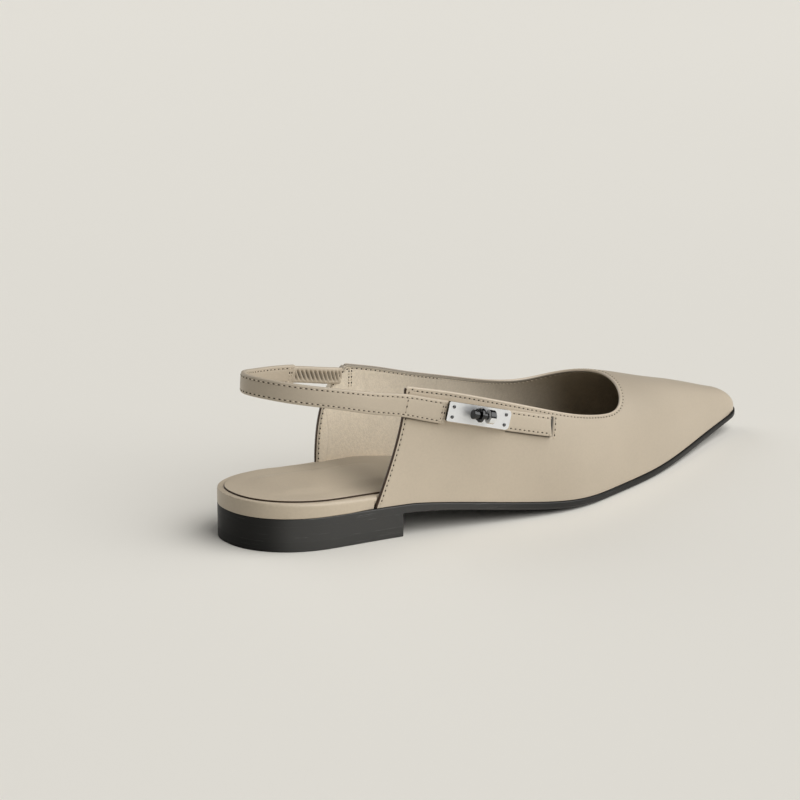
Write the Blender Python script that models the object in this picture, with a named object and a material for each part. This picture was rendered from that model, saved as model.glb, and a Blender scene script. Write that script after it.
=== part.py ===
"""Right slingback flat with a turn-lock strap, modelled as the pieces a shoemaker puts together.

Sizes are millimetres until a mesh is made. "Along" runs from the back of the heel to the toe, "across" is
positive to the medial side, and heights are above the floor. A side is LATERAL (-1) or MEDIAL (+1).
"""

from collections import namedtuple
import math

import bmesh
import bpy
from mathutils import Matrix, Vector
import numpy as np

MM = 0.001
LATERAL, MEDIAL = -1, 1

# Driving sizes of the shoe
LENGTH = 265.6
GAP = 0.3  # left between pieces that touch
LAID_ON = 0.4  # clearance of a strap laid on a curved wall
HEEL_REST = (33.0, -4.5)  # along and across of the middle of the heel's floor face, the origin

# Sole plan: the outline is the centre line plus and minus the half breadth, rounded off at both ends
Plan = namedtuple("Plan", "along centre half_breadth")
SOLE_PLAN = (
    Plan(0.0, 0.0, 26.2),  # back of the heel
    Plan(36.0, -4.9, 26.3),  # heel seat
    Plan(65.0, -9.4, 25.7),  # heel breast
    Plan(91.0, -13.8, 26.9),  # waist
    Plan(115.0, -14.6, 31.0),
    Plan(138.0, -11.8, 36.0),  # outer ball
    Plan(160.0, -6.9, 36.0),  # inner ball
    Plan(185.0, -3.5, 31.6),
    Plan(210.0, -0.5, 24.2),
    Plan(235.0, 2.4, 15.2),
    Plan(250.0, 4.2, 9.5),
    Plan(265.6, 5.0, 5.0),  # toe, before it is rounded off
)
HEEL_ROUND = {LATERAL: 31.0, MEDIAL: 40.0}
HEEL_POWER = 2.18
TOE_ROUND, TOE_POWER = 7.0, 2.2

# Sole profile: flat heel seat, arch, flat tread, toe spring
OUTSOLE_THICK = 3.2
SEAT_BACK, SEAT_BREAST = 10.5, 9.6  # height of the outsole's underside over the heel
BREAST = 66.0
ARCH_SLOPE = -0.085
TREAD_BACK, TREAD_FRONT = 158.0, 188.0
TOE_SPRING, SPRING_POWER = 5.9, 1.7
EDGE_BEVEL, EDGE_BREAK = 0.9, 0.4

# Heel
TOP_PIECE = 4.2
BREAST_LINE = {LATERAL: 62.0, MEDIAL: 68.5}

# Footbed board and insole sock
BOARD_HEEL, BOARD_FRONT = 6.0, 2.6
BOARD_EASE = 115.0  # where the board has come down to its front thickness
BOARD_INSET = 2.7  # in front, to leave room for the upper's wall
INSET_SPAN = {LATERAL: (44.0, 48.8), MEDIAL: (48.0, 52.5)}  # where the board steps in, just behind the quarters
RIM_WIDE = 2.6
RIM_EASE = (28.0, 60.0)  # where the pocket's line moves in with the board
RIM_ROUND = 1.5
POCKET = 1.6
SOCK_PROUD = 0.7
SOCK_ROUND = 0.2
ARCH_RISE = 3.1  # of the board's medial edge under the arch
ARCH_UP, ARCH_DOWN = (34.0, 76.0), (88.0, 118.0)

# Upper: sections rise from the sole to the ridge of the last and are cut at the topline
UPPER_WALL = 1.5
UPPER_INSET = 0.6
SECTION_POWER = 2.5
RIDGE_ROUND, RIDGE_POWER = 12.8, 2.2
TOE_FLAT = 0.12
Ridge = namedtuple("Ridge", "along height")
LAST_RIDGE = (
    Ridge(45.0, 175.0),
    Ridge(80.0, 118.0),
    Ridge(110.0, 82.0),
    Ridge(140.0, 56.5),
    Ridge(165.0, 44.5),  # instep
    Ridge(190.0, 38.5),  # throat
    Ridge(210.0, 32.7),
    Ridge(233.0, 26.4),
    Ridge(250.0, 21.0),
    Ridge(265.6, 16.9),
)
Topline = namedtuple("Topline", "along lateral medial")
TOPLINE = (
    Topline(50.0, 64.8, 62.4),
    Topline(62.0, 61.3, 59.5),  # back corners
    Topline(80.0, 56.9, 55.7),
    Topline(93.0, 53.2, 52.1),
    Topline(106.0, 49.3, 48.6),
    Topline(120.0, 44.9, 44.6),
    Topline(135.0, 40.1, 40.3),
    Topline(150.0, 35.8, 36.9),
    Topline(165.0, 32.7, 35.4),
    Topline(180.0, 31.2, 36.0),  # sides of the throat
)
THROAT_START, THROAT_APEX = 150.0, 185.0
Bend = namedtuple("Bend", "start_power end_power")  # shape of a curve where it leaves and where it arrives
THROAT = {LATERAL: Bend(6.0, 1.25), MEDIAL: Bend(3.0, 0.6)}
QuarterBack = namedtuple("QuarterBack", "foot reach bend")
QUARTER_BACK = {
    LATERAL: QuarterBack(49.3, 13.1, Bend(0.8, 1.65)),
    MEDIAL: QuarterBack(53.0, 12.2, Bend(2.2, 1.0)),
}
QUARTER_ROWS, VAMP_ROWS, WALL_COLUMNS = 26, 16, 10

# Heel strap and gathered elastic, along one line from the lateral quarter round the heel to the medial quarter
STRAP_FRONT, STRAP_SLOPE = (77.8, 49.2), -0.29  # along and height of its stitched end
STRAP_ON_QUARTER = (77.8, 70.0, 62.0)
Sling = namedtuple("Sling", "along across height lean")
SLING_FREE = (
    Sling(50.0, -32.4, 56.1, 0.07),
    Sling(34.0, -29.0, 59.8, 0.05),
    Sling(19.0, -22.6, 62.8, 0.05),
    Sling(9.6, -13.0, 64.4, 0.06),
    Sling(6.6, -2.8, 64.4, 0.07),
    Sling(10.0, 4.6, 63.0, 0.06),
    Sling(18.0, 11.4, 60.7, 0.05),
    Sling(29.0, 15.8, 58.9, 0.05),
    Sling(38.0, 17.0, 57.9, 0.05),
    Sling(43.4, 16.9, 57.3, 0.05),  # strap ends, elastic begins
    Sling(56.0, 14.3, 55.4, 0.06),
)
ELASTIC_ON_QUARTER = ((66.0, 53.6), (71.5, 52.6))
STRAP_THICK, STRAP_WIDE_FRONT, STRAP_WIDE_BACK = 2.0, 9.4, 8.0
ELASTIC_THICK, ELASTIC_WIDE = 2.4, 6.8
ELASTIC_FOLDS, FOLD_DEPTH = 12, 0.5
CHAMFER = 0.4

# Turn-lock
TAB_LINE, TAB_SLOPE = (78.6, 49.6), -0.275  # along and height of a point of its middle line
TAB_BACK, TAB_FRONT = 78.2, 126.0
TAB_THICK, TAB_WIDE = 1.6, 8.4
PLATE_CENTRE, PLATE_RAISE = 91.7, 0.4  # along, and how far it sits above the tab's middle line
PLATE_LONG, PLATE_WIDE, PLATE_THICK = 27.9, 7.9, 1.4
PLATE_CORNER = {"back": 0.5, "front": 1.6}
PIN_INSET = (2.2, 1.9)
PIN_SHANK, PIN_HOLE, PIN_HEAD, PIN_DOME = 0.45, 0.7, 0.75, 0.35
KNOB_PLACE = (0.0, 0.7)  # the knob's axis, off the plate's middle
KNOB_BORE, KNOB_STEM = 1.7, 1.4
KNOB_COLLAR, KNOB_COLLAR_HIGH = 2.7, 0.6
KNOB_RISE = 4.9  # height of the toggle's own axis over the plate's underside
Toggle = namedtuple("Toggle", "along radius")
KNOB_TOGGLE = (
    Toggle(-5.0, 0.0),
    Toggle(-5.0, 1.8),  # flared end of the rod
    Toggle(-4.7, 2.0),
    Toggle(-4.1, 1.65),
    Toggle(-1.8, 1.75),
    Toggle(-1.7, 2.6),  # flange
    Toggle(-1.4, 2.8),
    Toggle(-1.0, 2.8),
    Toggle(-0.8, 2.6),
    Toggle(-0.6, 1.9),  # neck over the stem
    Toggle(1.9, 1.9),
    Toggle(2.0, 2.6),  # barrel
    Toggle(2.2, 2.8),
    Toggle(4.3, 2.8),
    Toggle(4.5, 2.6),
    Toggle(4.5, 0.0),
)

# Colours (linear), roughness and metallic
Look = namedtuple("Look", "colour roughness metallic")
LOOKS = {
    "calf_beige": Look((0.52, 0.43, 0.32), 0.5, 0.0),
    "calf_footbed": Look((0.47, 0.38, 0.28), 0.45, 0.0),
    "edge_black": Look((0.018, 0.018, 0.018), 0.4, 0.0),
    "rubber_black": Look((0.012, 0.012, 0.012), 0.6, 0.0),
    "polished_metal": Look((0.78, 0.78, 0.77), 0.12, 1.0),
}


def column(table, name):
    """One named column of a table as an array."""
    return np.array([getattr(row, name) for row in table])


def natural_spline(knots, values, at):
    """Natural cubic curve through the values at the knots; values may be points."""
    knots, values = np.asarray(knots, float), np.asarray(values, float)
    steps = np.diff(knots)
    count = len(knots)
    system = np.eye(count)
    bend = np.zeros(values.shape)
    for i in range(1, count - 1):
        system[i, i - 1 : i + 2] = steps[i - 1], 2.0 * (steps[i - 1] + steps[i]), steps[i]
        rise = (values[i + 1] - values[i]) / steps[i]
        bend[i] = 6.0 * (rise - (values[i] - values[i - 1]) / steps[i - 1])
    curve = np.linalg.solve(system, bend)
    at = np.asarray(at, float)
    cell = np.clip(np.searchsorted(knots, at) - 1, 0, count - 2)
    step = steps[cell]
    past = at - knots[cell]
    left = step - past
    if values.ndim > 1:
        step, past, left = step[:, None], past[:, None], left[:, None]
    cubic = (curve[cell] * left**3 + curve[cell + 1] * past**3) / (6.0 * step)
    straight = (values[cell] / step - curve[cell] * step / 6.0) * left
    return cubic + straight + (values[cell + 1] / step - curve[cell + 1] * step / 6.0) * past


def read(table, name, along):
    """A table's column at any distance along the shoe."""
    return natural_spline(column(table, "along"), column(table, name), along)


def ease(value, start, end):
    """0 before start, 1 after end, with a smooth step between."""
    share = np.clip((np.asarray(value, float) - start) / (end - start), 0.0, 1.0)
    return share * share * (3.0 - 2.0 * share)


def bent(share, bend):
    """0 to 1 over a share, along the curve that a bend describes."""
    return 1.0 - (1.0 - share**bend.start_power) ** bend.end_power


def round_end(distance, length, power):
    """Share of the full breadth at a distance from a rounded end."""
    inward = np.clip(1.0 - np.asarray(distance, float) / length, 0.0, 1.0)
    return (1.0 - inward**power) ** (1.0 / power)


def sole_edge(along, side, inset=0.0, back=0.0, front=LENGTH):
    """Across of the sole outline, moved in by an inset, between its back and front ends."""
    breadth = read(SOLE_PLAN, "half_breadth", along) - inset
    heel = round_end(along - back, HEEL_ROUND[side] - back, HEEL_POWER)
    toe = round_end(front - along, TOE_ROUND, TOE_POWER)
    return read(SOLE_PLAN, "centre", along) + side * breadth * heel * toe


def tread(along):
    """Height of the outsole's underside."""
    along = np.asarray(along, float)
    seat = SEAT_BACK + (SEAT_BREAST - SEAT_BACK) * along / BREAST
    span = TREAD_BACK - BREAST
    t = np.clip((along - BREAST) / span, 0.0, 1.0)
    arch = SEAT_BREAST * (2.0 * t**3 - 3.0 * t**2 + 1.0) + ARCH_SLOPE * span * (t**3 - 2.0 * t**2 + t)
    rise = np.clip((along - TREAD_FRONT) / (LENGTH - TREAD_FRONT), 0.0, 1.0)
    spring = TOE_SPRING * rise**SPRING_POWER
    return np.where(along < BREAST, seat, np.where(along < TREAD_BACK, arch, spring))


def sole_top(along):
    return tread(along) + OUTSOLE_THICK


def board_thickness(along):
    return BOARD_HEEL + (BOARD_FRONT - BOARD_HEEL) * ease(along, 0.0, BOARD_EASE)


def board_top(along):
    return sole_top(along) + GAP + board_thickness(along)


def board_inset(along, side):
    return BOARD_INSET * ease(along, *INSET_SPAN[side])


def pocket_inset(along):
    return RIM_WIDE + BOARD_INSET * ease(along, *RIM_EASE)


def arch_rise(along, side):
    """How far the board's medial edge lies above its lateral one."""
    rise = ease(along, *ARCH_UP) - ease(along, *ARCH_DOWN)
    return ARCH_RISE * rise * (side == MEDIAL)


def upper_base(along):
    return sole_top(along) + GAP


def upper_ridge(along):
    """Height of the last's ridge, rounded off at the toe."""
    full = read(LAST_RIDGE, "height", along) - upper_base(along)
    nose = round_end(LENGTH - UPPER_INSET - along, RIDGE_ROUND, RIDGE_POWER)
    return upper_base(along) + full * nose


def upper_point(along, turn, side):
    """Point of the upper's outer face: turn 0 is the sole edge, turn 1 the ridge."""
    angle = np.asarray(turn, float) * math.pi / 2.0
    breadth = read(SOLE_PLAN, "half_breadth", along) - UPPER_INSET
    breadth = breadth * round_end(LENGTH - UPPER_INSET - along, TOE_ROUND, TOE_POWER)
    across = read(SOLE_PLAN, "centre", along) + side * breadth * np.cos(angle) ** (2.0 / SECTION_POWER)
    rise = (upper_ridge(along) - upper_base(along)) * np.sin(angle) ** (2.0 / SECTION_POWER)
    return np.stack(np.broadcast_arrays(along, across, upper_base(along) + rise), -1)


def turn_at(along, height):
    """Turn of the point of a section that lies at a height."""
    share = (height - upper_base(along)) / (upper_ridge(along) - upper_base(along))
    return np.arcsin(np.clip(share, 0.0, 1.0) ** (SECTION_POWER / 2.0)) * 2.0 / math.pi


def topline_turn(along, side):
    """Turn at which a section is cut: the topline's height, drawn in to the ridge round the throat."""
    last = TOPLINE[-1].along
    name = "lateral" if side == LATERAL else "medial"
    cut = turn_at(along, read(TOPLINE, name, np.minimum(along, last)))
    share = np.clip((along - THROAT_START) / (THROAT_APEX - THROAT_START), 0.0, 1.0)
    return cut + (1.0 - cut) * bent(share, THROAT[side])


def on_wall(along, height, side, outward):
    """Point off the upper's wall at a height, with the direction up the wall and the outward normal."""
    along, height = np.asarray(along, float), np.asarray(height, float)
    step = 3.0
    here = upper_point(along, turn_at(along, height), side)
    above = upper_point(along, turn_at(along, height + step), side)
    below = upper_point(along, turn_at(along, height - step), side)
    ahead = upper_point(along + step, turn_at(along + step, height), side)
    behind = upper_point(along - step, turn_at(along - step, height), side)
    up = unit(above - below)
    normal = unit(side * np.cross(up, ahead - behind))
    return here + outward * normal, up, normal


def unit(vectors):
    return vectors / np.linalg.norm(vectors, axis=-1, keepdims=True)


def add_object(name, mesh_edit, look, parent, matrix=None):
    """Closes a mesh edit into a named object with its own material under a parent."""
    mesh = bpy.data.meshes.new(name)
    mesh_edit.to_mesh(mesh)
    mesh_edit.free()
    mesh.shade_smooth()
    mesh.set_sharp_from_angle(angle=math.radians(35.0))
    mesh.materials.append(material(look))
    item = bpy.data.objects.new(name, mesh)
    bpy.context.scene.collection.objects.link(item)
    item.parent = parent
    if matrix is not None:
        item.matrix_local = matrix
    return item


def add_empty(name, matrix, parent=None):
    item = bpy.data.objects.new(name, None)
    bpy.context.scene.collection.objects.link(item)
    item.parent = parent
    item.matrix_local = matrix
    return item


def material(look):
    """The Principled material of a look, made once."""
    made = bpy.data.materials.get(look)
    if made is None:
        made = bpy.data.materials.new(look)
        made.use_nodes = True
        shader = made.node_tree.nodes["Principled BSDF"]
        shader.inputs["Base Color"].default_value = (*LOOKS[look].colour, 1.0)
        shader.inputs["Roughness"].default_value = LOOKS[look].roughness
        shader.inputs["Metallic"].default_value = LOOKS[look].metallic
        made.diffuse_color = (*LOOKS[look].colour, 1.0)
    return made


def weld(mesh_edit):
    """Joins points that coincide and drops the faces that this empties."""
    bmesh.ops.remove_doubles(mesh_edit, verts=mesh_edit.verts, dist=0.002 * MM)
    bmesh.ops.dissolve_degenerate(mesh_edit, edges=mesh_edit.edges, dist=0.002 * MM)


def spread(start, end, rows):
    """Distances along, closer together at both ends."""
    share = (1.0 - np.cos(np.linspace(0.0, math.pi, rows + 1))) / 2.0
    return start + (end - start) * share


def half_spread(start, end, rows):
    """Distances along, closer together at the start only."""
    share = 1.0 - np.cos(np.linspace(0.0, math.pi / 2.0, rows + 1))
    return start + (end - start) * share


def level(along, height, inset=None, back=0.0, front=LENGTH, rise=None):
    """One closed line of a slab, as its lateral and medial rows of points; inset and rise may differ by side."""
    rows = {}
    for side in (LATERAL, MEDIAL):
        at = along[side] if isinstance(along, dict) else along
        moved = inset(at, side) if inset else 0.0
        lifted = rise(at, side) if rise else 0.0
        across = sole_edge(at, side, moved, back, front)
        rows[side] = np.stack(np.broadcast_arrays(at, across, height(at) + lifted), -1)
    return rows


def slab(name, levels, look, parent):
    """Solid between stacked closed lines, floored and roofed by strips that all slant one way from side to side."""
    edit = bmesh.new()
    rings = []
    for rows in levels:
        lateral = [edit.verts.new(Vector(point) * MM) for point in rows[LATERAL]]
        medial = [edit.verts.new(Vector(point) * MM) for point in rows[MEDIAL]]
        rings.append((lateral, medial))
    for (low_lateral, low_medial), (high_lateral, high_medial) in zip(rings, rings[1:]):
        low = low_lateral + low_medial[::-1]
        high = high_lateral + high_medial[::-1]
        for i in range(len(low)):
            j = (i + 1) % len(low)
            edit.faces.new((low[i], low[j], high[j], high[i]))
    for lateral, medial, flip in ((*rings[0], True), (*rings[-1], False)):
        for i in range(len(lateral) - 1):
            for corners in (
                (lateral[i], lateral[i + 1], medial[i + 1]),
                (lateral[i], medial[i + 1], medial[i]),
            ):
                edit.faces.new(corners[::-1] if flip else corners)
    weld(edit)
    return add_object(name, edit, look, parent)


def make_outsole(parent):
    along = spread(0.0, LENGTH, 64)
    bevel = EDGE_BEVEL * ease(along, BREAST, BREAST + 16.0)
    levels = (
        level(along, tread, lambda at, side: bevel),
        level(along, lambda at: tread(at) + bevel + 0.05),
        level(along, lambda at: sole_top(at) - EDGE_BREAK),
        level(along, sole_top, lambda at, side: EDGE_BREAK),
    )
    return slab("outsole", levels, "edge_black", parent)


def make_heel(parent):
    along = {side: half_spread(0.0, BREAST_LINE[side], 22) for side in BREAST_LINE}
    block = (
        level(along, lambda at: np.full(at.shape, TOP_PIECE + GAP)),
        level(along, lambda at: tread(at) - GAP),
    )
    top_piece = (
        level(along, lambda at: np.zeros(at.shape)),
        level(along, lambda at: np.full(at.shape, TOP_PIECE)),
    )
    slab("heel_block", block, "edge_black", parent)
    slab("heel_top_piece", top_piece, "rubber_black", parent)


def board_rows():
    """Distances along the board, closer together at its ends and where its edges step in."""
    step_in = [np.linspace(*INSET_SPAN[side], 4) for side in (LATERAL, MEDIAL)]
    return np.unique(np.concatenate([spread(0.0, LENGTH - BOARD_INSET, 48), *step_in]))


def make_footbed(parent):
    front = LENGTH - BOARD_INSET
    along = board_rows()

    def line(inset, height, rise=arch_rise):
        return level(along, height, lambda at, side: board_inset(at, side) + inset, 0.0, front, rise)

    levels = [
        line(0.0, lambda at: sole_top(at) + GAP, None),
        line(0.0, lambda at: board_top(at) - RIM_ROUND),
    ]
    for angle in (30.0, 60.0, 90.0):
        turn = math.radians(angle)
        drop = RIM_ROUND * (1.0 - math.sin(turn))
        levels.append(line(RIM_ROUND * (1.0 - math.cos(turn)), lambda at, d=drop: board_top(at) - d))
    levels.append(pocket_line(along, 0.0, board_top))
    levels.append(pocket_line(along, 0.0, lambda at: board_top(at) - POCKET))
    slab("footbed", levels, "calf_footbed", parent)


def pocket_line(along, inset, height):
    """Closed line inside the pocket's wall by an inset, over the board's rows of points."""
    board_front = LENGTH - BOARD_INSET
    back, front = RIM_WIDE + inset, board_front - RIM_WIDE - inset
    moved = back + (front - back) * along / board_front
    return level(moved, height, lambda at, side: pocket_inset(at) + inset, back, front, arch_rise)


def make_sock(parent):
    along = board_rows()
    top = lambda at: board_top(at) + SOCK_PROUD
    levels = (
        pocket_line(along, GAP, lambda at: board_top(at) - POCKET + GAP),
        pocket_line(along, GAP, lambda at: top(at) - SOCK_ROUND),
        pocket_line(along, GAP + SOCK_ROUND, top),
    )
    slab("insole_sock", levels, "calf_footbed", parent)


def quarter_grid(side):
    """Points of one side of the upper, row by row from its back edge to the toe, sole to topline."""
    lift = np.linspace(0.0, 1.0, WALL_COLUMNS + 1)
    foot, reach, bend = QUARTER_BACK[side]
    back = foot + reach * bent(lift, bend)
    rows = []
    for share in np.sin(np.linspace(0.0, math.pi / 2.0, QUARTER_ROWS + 1)):
        along = back + (THROAT_APEX - back) * share
        rows.append(upper_point(along, lift * topline_turn(along, side), side))
    front = LENGTH - UPPER_INSET - TOE_FLAT
    for share in np.linspace(0.0, 1.0, VAMP_ROWS + 1)[1:]:
        along = np.full(lift.shape, front - (front - THROAT_APEX) * (1.0 - share) ** 2.6)
        rows.append(upper_point(along, lift, side))
    return rows


def make_upper(parent):
    """The wall grows inwards from its outer face, so its back, topline and sole edges stay open."""
    edit = bmesh.new()
    grids = {}
    for side in (LATERAL, MEDIAL):
        grid = [[edit.verts.new(Vector(point) * MM) for point in row] for row in quarter_grid(side)]
        grids[side] = grid
        for i in range(len(grid) - 1):
            for j in range(WALL_COLUMNS):
                corners = (grid[i][j], grid[i + 1][j], grid[i + 1][j + 1], grid[i][j + 1])
                edit.faces.new(corners if side == LATERAL else corners[::-1])
    lateral, medial = grids[LATERAL][-1], grids[MEDIAL][-1]
    for j in range(WALL_COLUMNS):
        edit.faces.new((lateral[j], medial[j], medial[j + 1], lateral[j + 1]))
    weld(edit)
    upper = add_object("upper", edit, "calf_beige", parent)
    wall = upper.modifiers.new("wall", "SOLIDIFY")
    wall.thickness = UPPER_WALL * MM
    wall.offset = -1.0


def sling_line():
    """Centre line of strap and elastic: points, widthwise directions, outward normals and arc lengths."""
    points, leans = [], []
    for along in STRAP_ON_QUARTER:
        height = STRAP_FRONT[1] + STRAP_SLOPE * (along - STRAP_FRONT[0])
        point, up, _ = on_wall(along, height, LATERAL, LAID_ON + STRAP_THICK / 2.0)
        points.append(point)
        leans.append(up)
    middle = np.array([45.0, -6.0])
    for knot in SLING_FREE:
        point = np.array([knot.along, knot.across, knot.height])
        inward = unit(middle - point[:2])
        points.append(point)
        leans.append(unit(np.array([*(inward * knot.lean), 1.0])))
    for along, height in ELASTIC_ON_QUARTER:
        inside = -(UPPER_WALL + LAID_ON + ELASTIC_THICK / 2.0)
        point, up, _ = on_wall(along, height, MEDIAL, inside)
        points.append(point)
        leans.append(up)
    points, leans = np.array(points), np.array(leans)
    reach = np.concatenate([[0.0], np.cumsum(np.linalg.norm(np.diff(points, axis=0), axis=1))])
    joint = reach[len(STRAP_ON_QUARTER) + len(SLING_FREE) - 2]
    return points, leans, reach, joint


def ribbon_frame(points, leans, reach, at):
    """Points, widthwise directions and outward normals of the sling at given distances along it."""
    where = natural_spline(reach, points, at)
    run = unit(natural_spline(reach, points, at + 0.2) - natural_spline(reach, points, at - 0.2))
    lean = natural_spline(reach, leans, at)
    wide = unit(lean - run * np.sum(lean * run, axis=1, keepdims=True))
    return where, wide, np.cross(wide, run)


def ribbon(name, points, wide, normals, width, thickness, look, parent):
    """Strap of flat section with broken edges along a row of points."""
    edit = bmesh.new()
    rings = []
    width = np.broadcast_to(width, len(points)) / 2.0
    thickness = np.broadcast_to(thickness, len(points)) / 2.0
    for point, up, out, w, t in zip(points, wide, normals, width, thickness):
        w_in, t_in = w - CHAMFER, t - CHAMFER
        section = (
            (w_in, t), (w, t_in), (w, -t_in), (w_in, -t),
            (-w_in, -t), (-w, -t_in), (-w, t_in), (-w_in, t),
        )
        rings.append([edit.verts.new(Vector(point + up * a + out * b) * MM) for a, b in section])
    for low, high in zip(rings, rings[1:]):
        for i in range(len(low)):
            j = (i + 1) % len(low)
            edit.faces.new((low[i], low[j], high[j], high[i]))
    edit.faces.new(rings[0][::-1])
    edit.faces.new(rings[-1])
    bmesh.ops.recalc_face_normals(edit, faces=edit.faces)
    return add_object(name, edit, look, parent)


def make_sling(parent):
    points, leans, reach, joint = sling_line()
    strap_at = np.linspace(0.0, joint, 48)
    where, wide, normals = ribbon_frame(points, leans, reach, strap_at)
    narrow = ease(strap_at, 0.0, 60.0)
    width = STRAP_WIDE_FRONT + (STRAP_WIDE_BACK - STRAP_WIDE_FRONT) * narrow
    ribbon("heel_strap", where, wide, normals, width, STRAP_THICK, "calf_beige", parent)
    elastic_at = np.linspace(joint + GAP, reach[-1], 6 * ELASTIC_FOLDS + 1)
    where, wide, normals = ribbon_frame(points, leans, reach, elastic_at)
    wave = np.cos(np.linspace(0.0, 2.0 * math.pi * ELASTIC_FOLDS, len(elastic_at)))
    thickness = ELASTIC_THICK - FOLD_DEPTH * (1.0 + wave)
    ribbon("strap_elastic", where, wide, normals, ELASTIC_WIDE, thickness, "calf_beige", parent)


def make_tab(parent):
    along = np.linspace(TAB_BACK, TAB_FRONT, 20)
    height = TAB_LINE[1] + TAB_SLOPE * (along - TAB_LINE[0])
    where, up, normals = on_wall(along, height, LATERAL, LAID_ON + TAB_THICK / 2.0)
    run = unit(np.gradient(where, axis=0))
    wide = unit(up - run * np.sum(up * run, axis=1, keepdims=True))
    ribbon("lock_tab", where, wide, normals, TAB_WIDE, TAB_THICK, "calf_beige", parent)
    return where, wide, normals


def lock_matrix(where, wide, normals):
    """Frame on the plate's underside: X to the toe, Y up the shoe, Z out of the plate."""
    under = np.abs(where[:, 0] - PLATE_CENTRE) < PLATE_LONG / 2.0 + 2.0
    middle = np.argmin(np.abs(where[:, 0] - PLATE_CENTRE))
    run = unit(where[under][-1] - where[under][0])
    out = unit(normals[middle] - run * np.dot(normals[middle], run))
    up = np.cross(out, run)
    edges = np.concatenate([where[under] + s * wide[under] * TAB_WIDE / 2.0 for s in (-1.0, 1.0)])
    edges = edges + np.tile(normals[under], (2, 1)) * TAB_THICK / 2.0
    centre = np.mean(where[under], axis=0)
    centre = centre + run * (PLATE_CENTRE - centre[0]) / run[0]
    lift = np.max((edges - centre) @ out) + GAP
    matrix = Matrix((run, up, out)).transposed().to_4x4()
    matrix.translation = Vector(centre + PLATE_RAISE * up + lift * out) * MM
    return matrix


def disc(edit, radius, low, high, segments, centre=(0.0, 0.0)):
    """Upright cylinder between two heights."""
    place = Matrix.Translation(Vector((*centre, (low + high) / 2.0)) * MM)
    size = {"radius1": radius * MM, "radius2": radius * MM, "depth": (high - low) * MM}
    bmesh.ops.create_cone(edit, cap_ends=True, segments=segments, matrix=place, **size)


def spun(profile, steps):
    """Solid turned about Z from rows of radius and height that start and end on the axis."""
    edit = bmesh.new()
    edge = [edit.verts.new(Vector((radius, 0.0, height)) * MM) for radius, height in profile]
    for low, high in zip(edge, edge[1:]):
        edit.edges.new((low, high))
    turned = {"geom": edit.verts[:] + edit.edges[:], "cent": (0, 0, 0), "axis": (0, 0, 1)}
    bmesh.ops.spin(edit, angle=2.0 * math.pi, steps=steps, use_merge=True, **turned)
    weld(edit)
    bmesh.ops.recalc_face_normals(edit, faces=edit.faces)
    return edit


def pin_places():
    x = PLATE_LONG / 2.0 - PIN_INSET[0]
    y = PLATE_WIDE / 2.0 - PIN_INSET[1]
    return ((-x, y), (-x, -y), (x, y), (x, -y))


def make_plate(parent):
    """Plate with rounded corners, bored for the knob's stem and the four pins."""
    edit = bmesh.new()
    outline = []
    for end, sx, sy, start in (("front", 1, 1, 0), ("back", -1, 1, 90), ("back", -1, -1, 180), ("front", 1, -1, 270)):
        radius = PLATE_CORNER[end]
        for step in range(5):
            angle = math.radians(start + 22.5 * step)
            x = sx * (PLATE_LONG / 2.0 - radius) + radius * math.cos(angle)
            y = sy * (PLATE_WIDE / 2.0 - radius) + radius * math.sin(angle)
            outline.append(edit.verts.new(Vector((x, y, 0.0)) * MM))
    face = edit.faces.new(outline)
    raised = bmesh.ops.extrude_face_region(edit, geom=[face])["geom"]
    lifted = [item for item in raised if isinstance(item, bmesh.types.BMVert)]
    bmesh.ops.translate(edit, vec=Vector((0.0, 0.0, PLATE_THICK)) * MM, verts=lifted)
    bmesh.ops.recalc_face_normals(edit, faces=edit.faces)
    plate = add_object("lock_plate", edit, "polished_metal", parent)
    bores = bmesh.new()
    disc(bores, KNOB_BORE, -1.0, PLATE_THICK + 1.0, 24, KNOB_PLACE)
    for place in pin_places():
        disc(bores, PIN_HOLE, -1.0, PLATE_THICK + 1.0, 12, place)
    cutter = add_object("plate_bores", bores, "polished_metal", parent)
    cutter.hide_render = True
    cutter.display_type = "WIRE"
    cut = plate.modifiers.new("bores", "BOOLEAN")
    cut.operation = "DIFFERENCE"
    cut.object = cutter


def make_pins(parent):
    """Pins with low domed heads, their shanks down in the plate."""
    for number, place in enumerate(pin_places(), 1):
        profile = [(0.0, 0.1), (PIN_SHANK, 0.1), (PIN_SHANK, PLATE_THICK + GAP)]
        for angle in (0.0, 30.0, 60.0, 90.0):
            turn = math.radians(angle)
            height = PLATE_THICK + GAP + PIN_DOME * math.sin(turn)
            profile.append((PIN_HEAD * math.cos(turn), height))
        spot = Matrix.Translation(Vector((*place, 0.0)) * MM)
        add_object(f"plate_pin_{number}", spun(profile, 12), "polished_metal", parent, spot)


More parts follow.
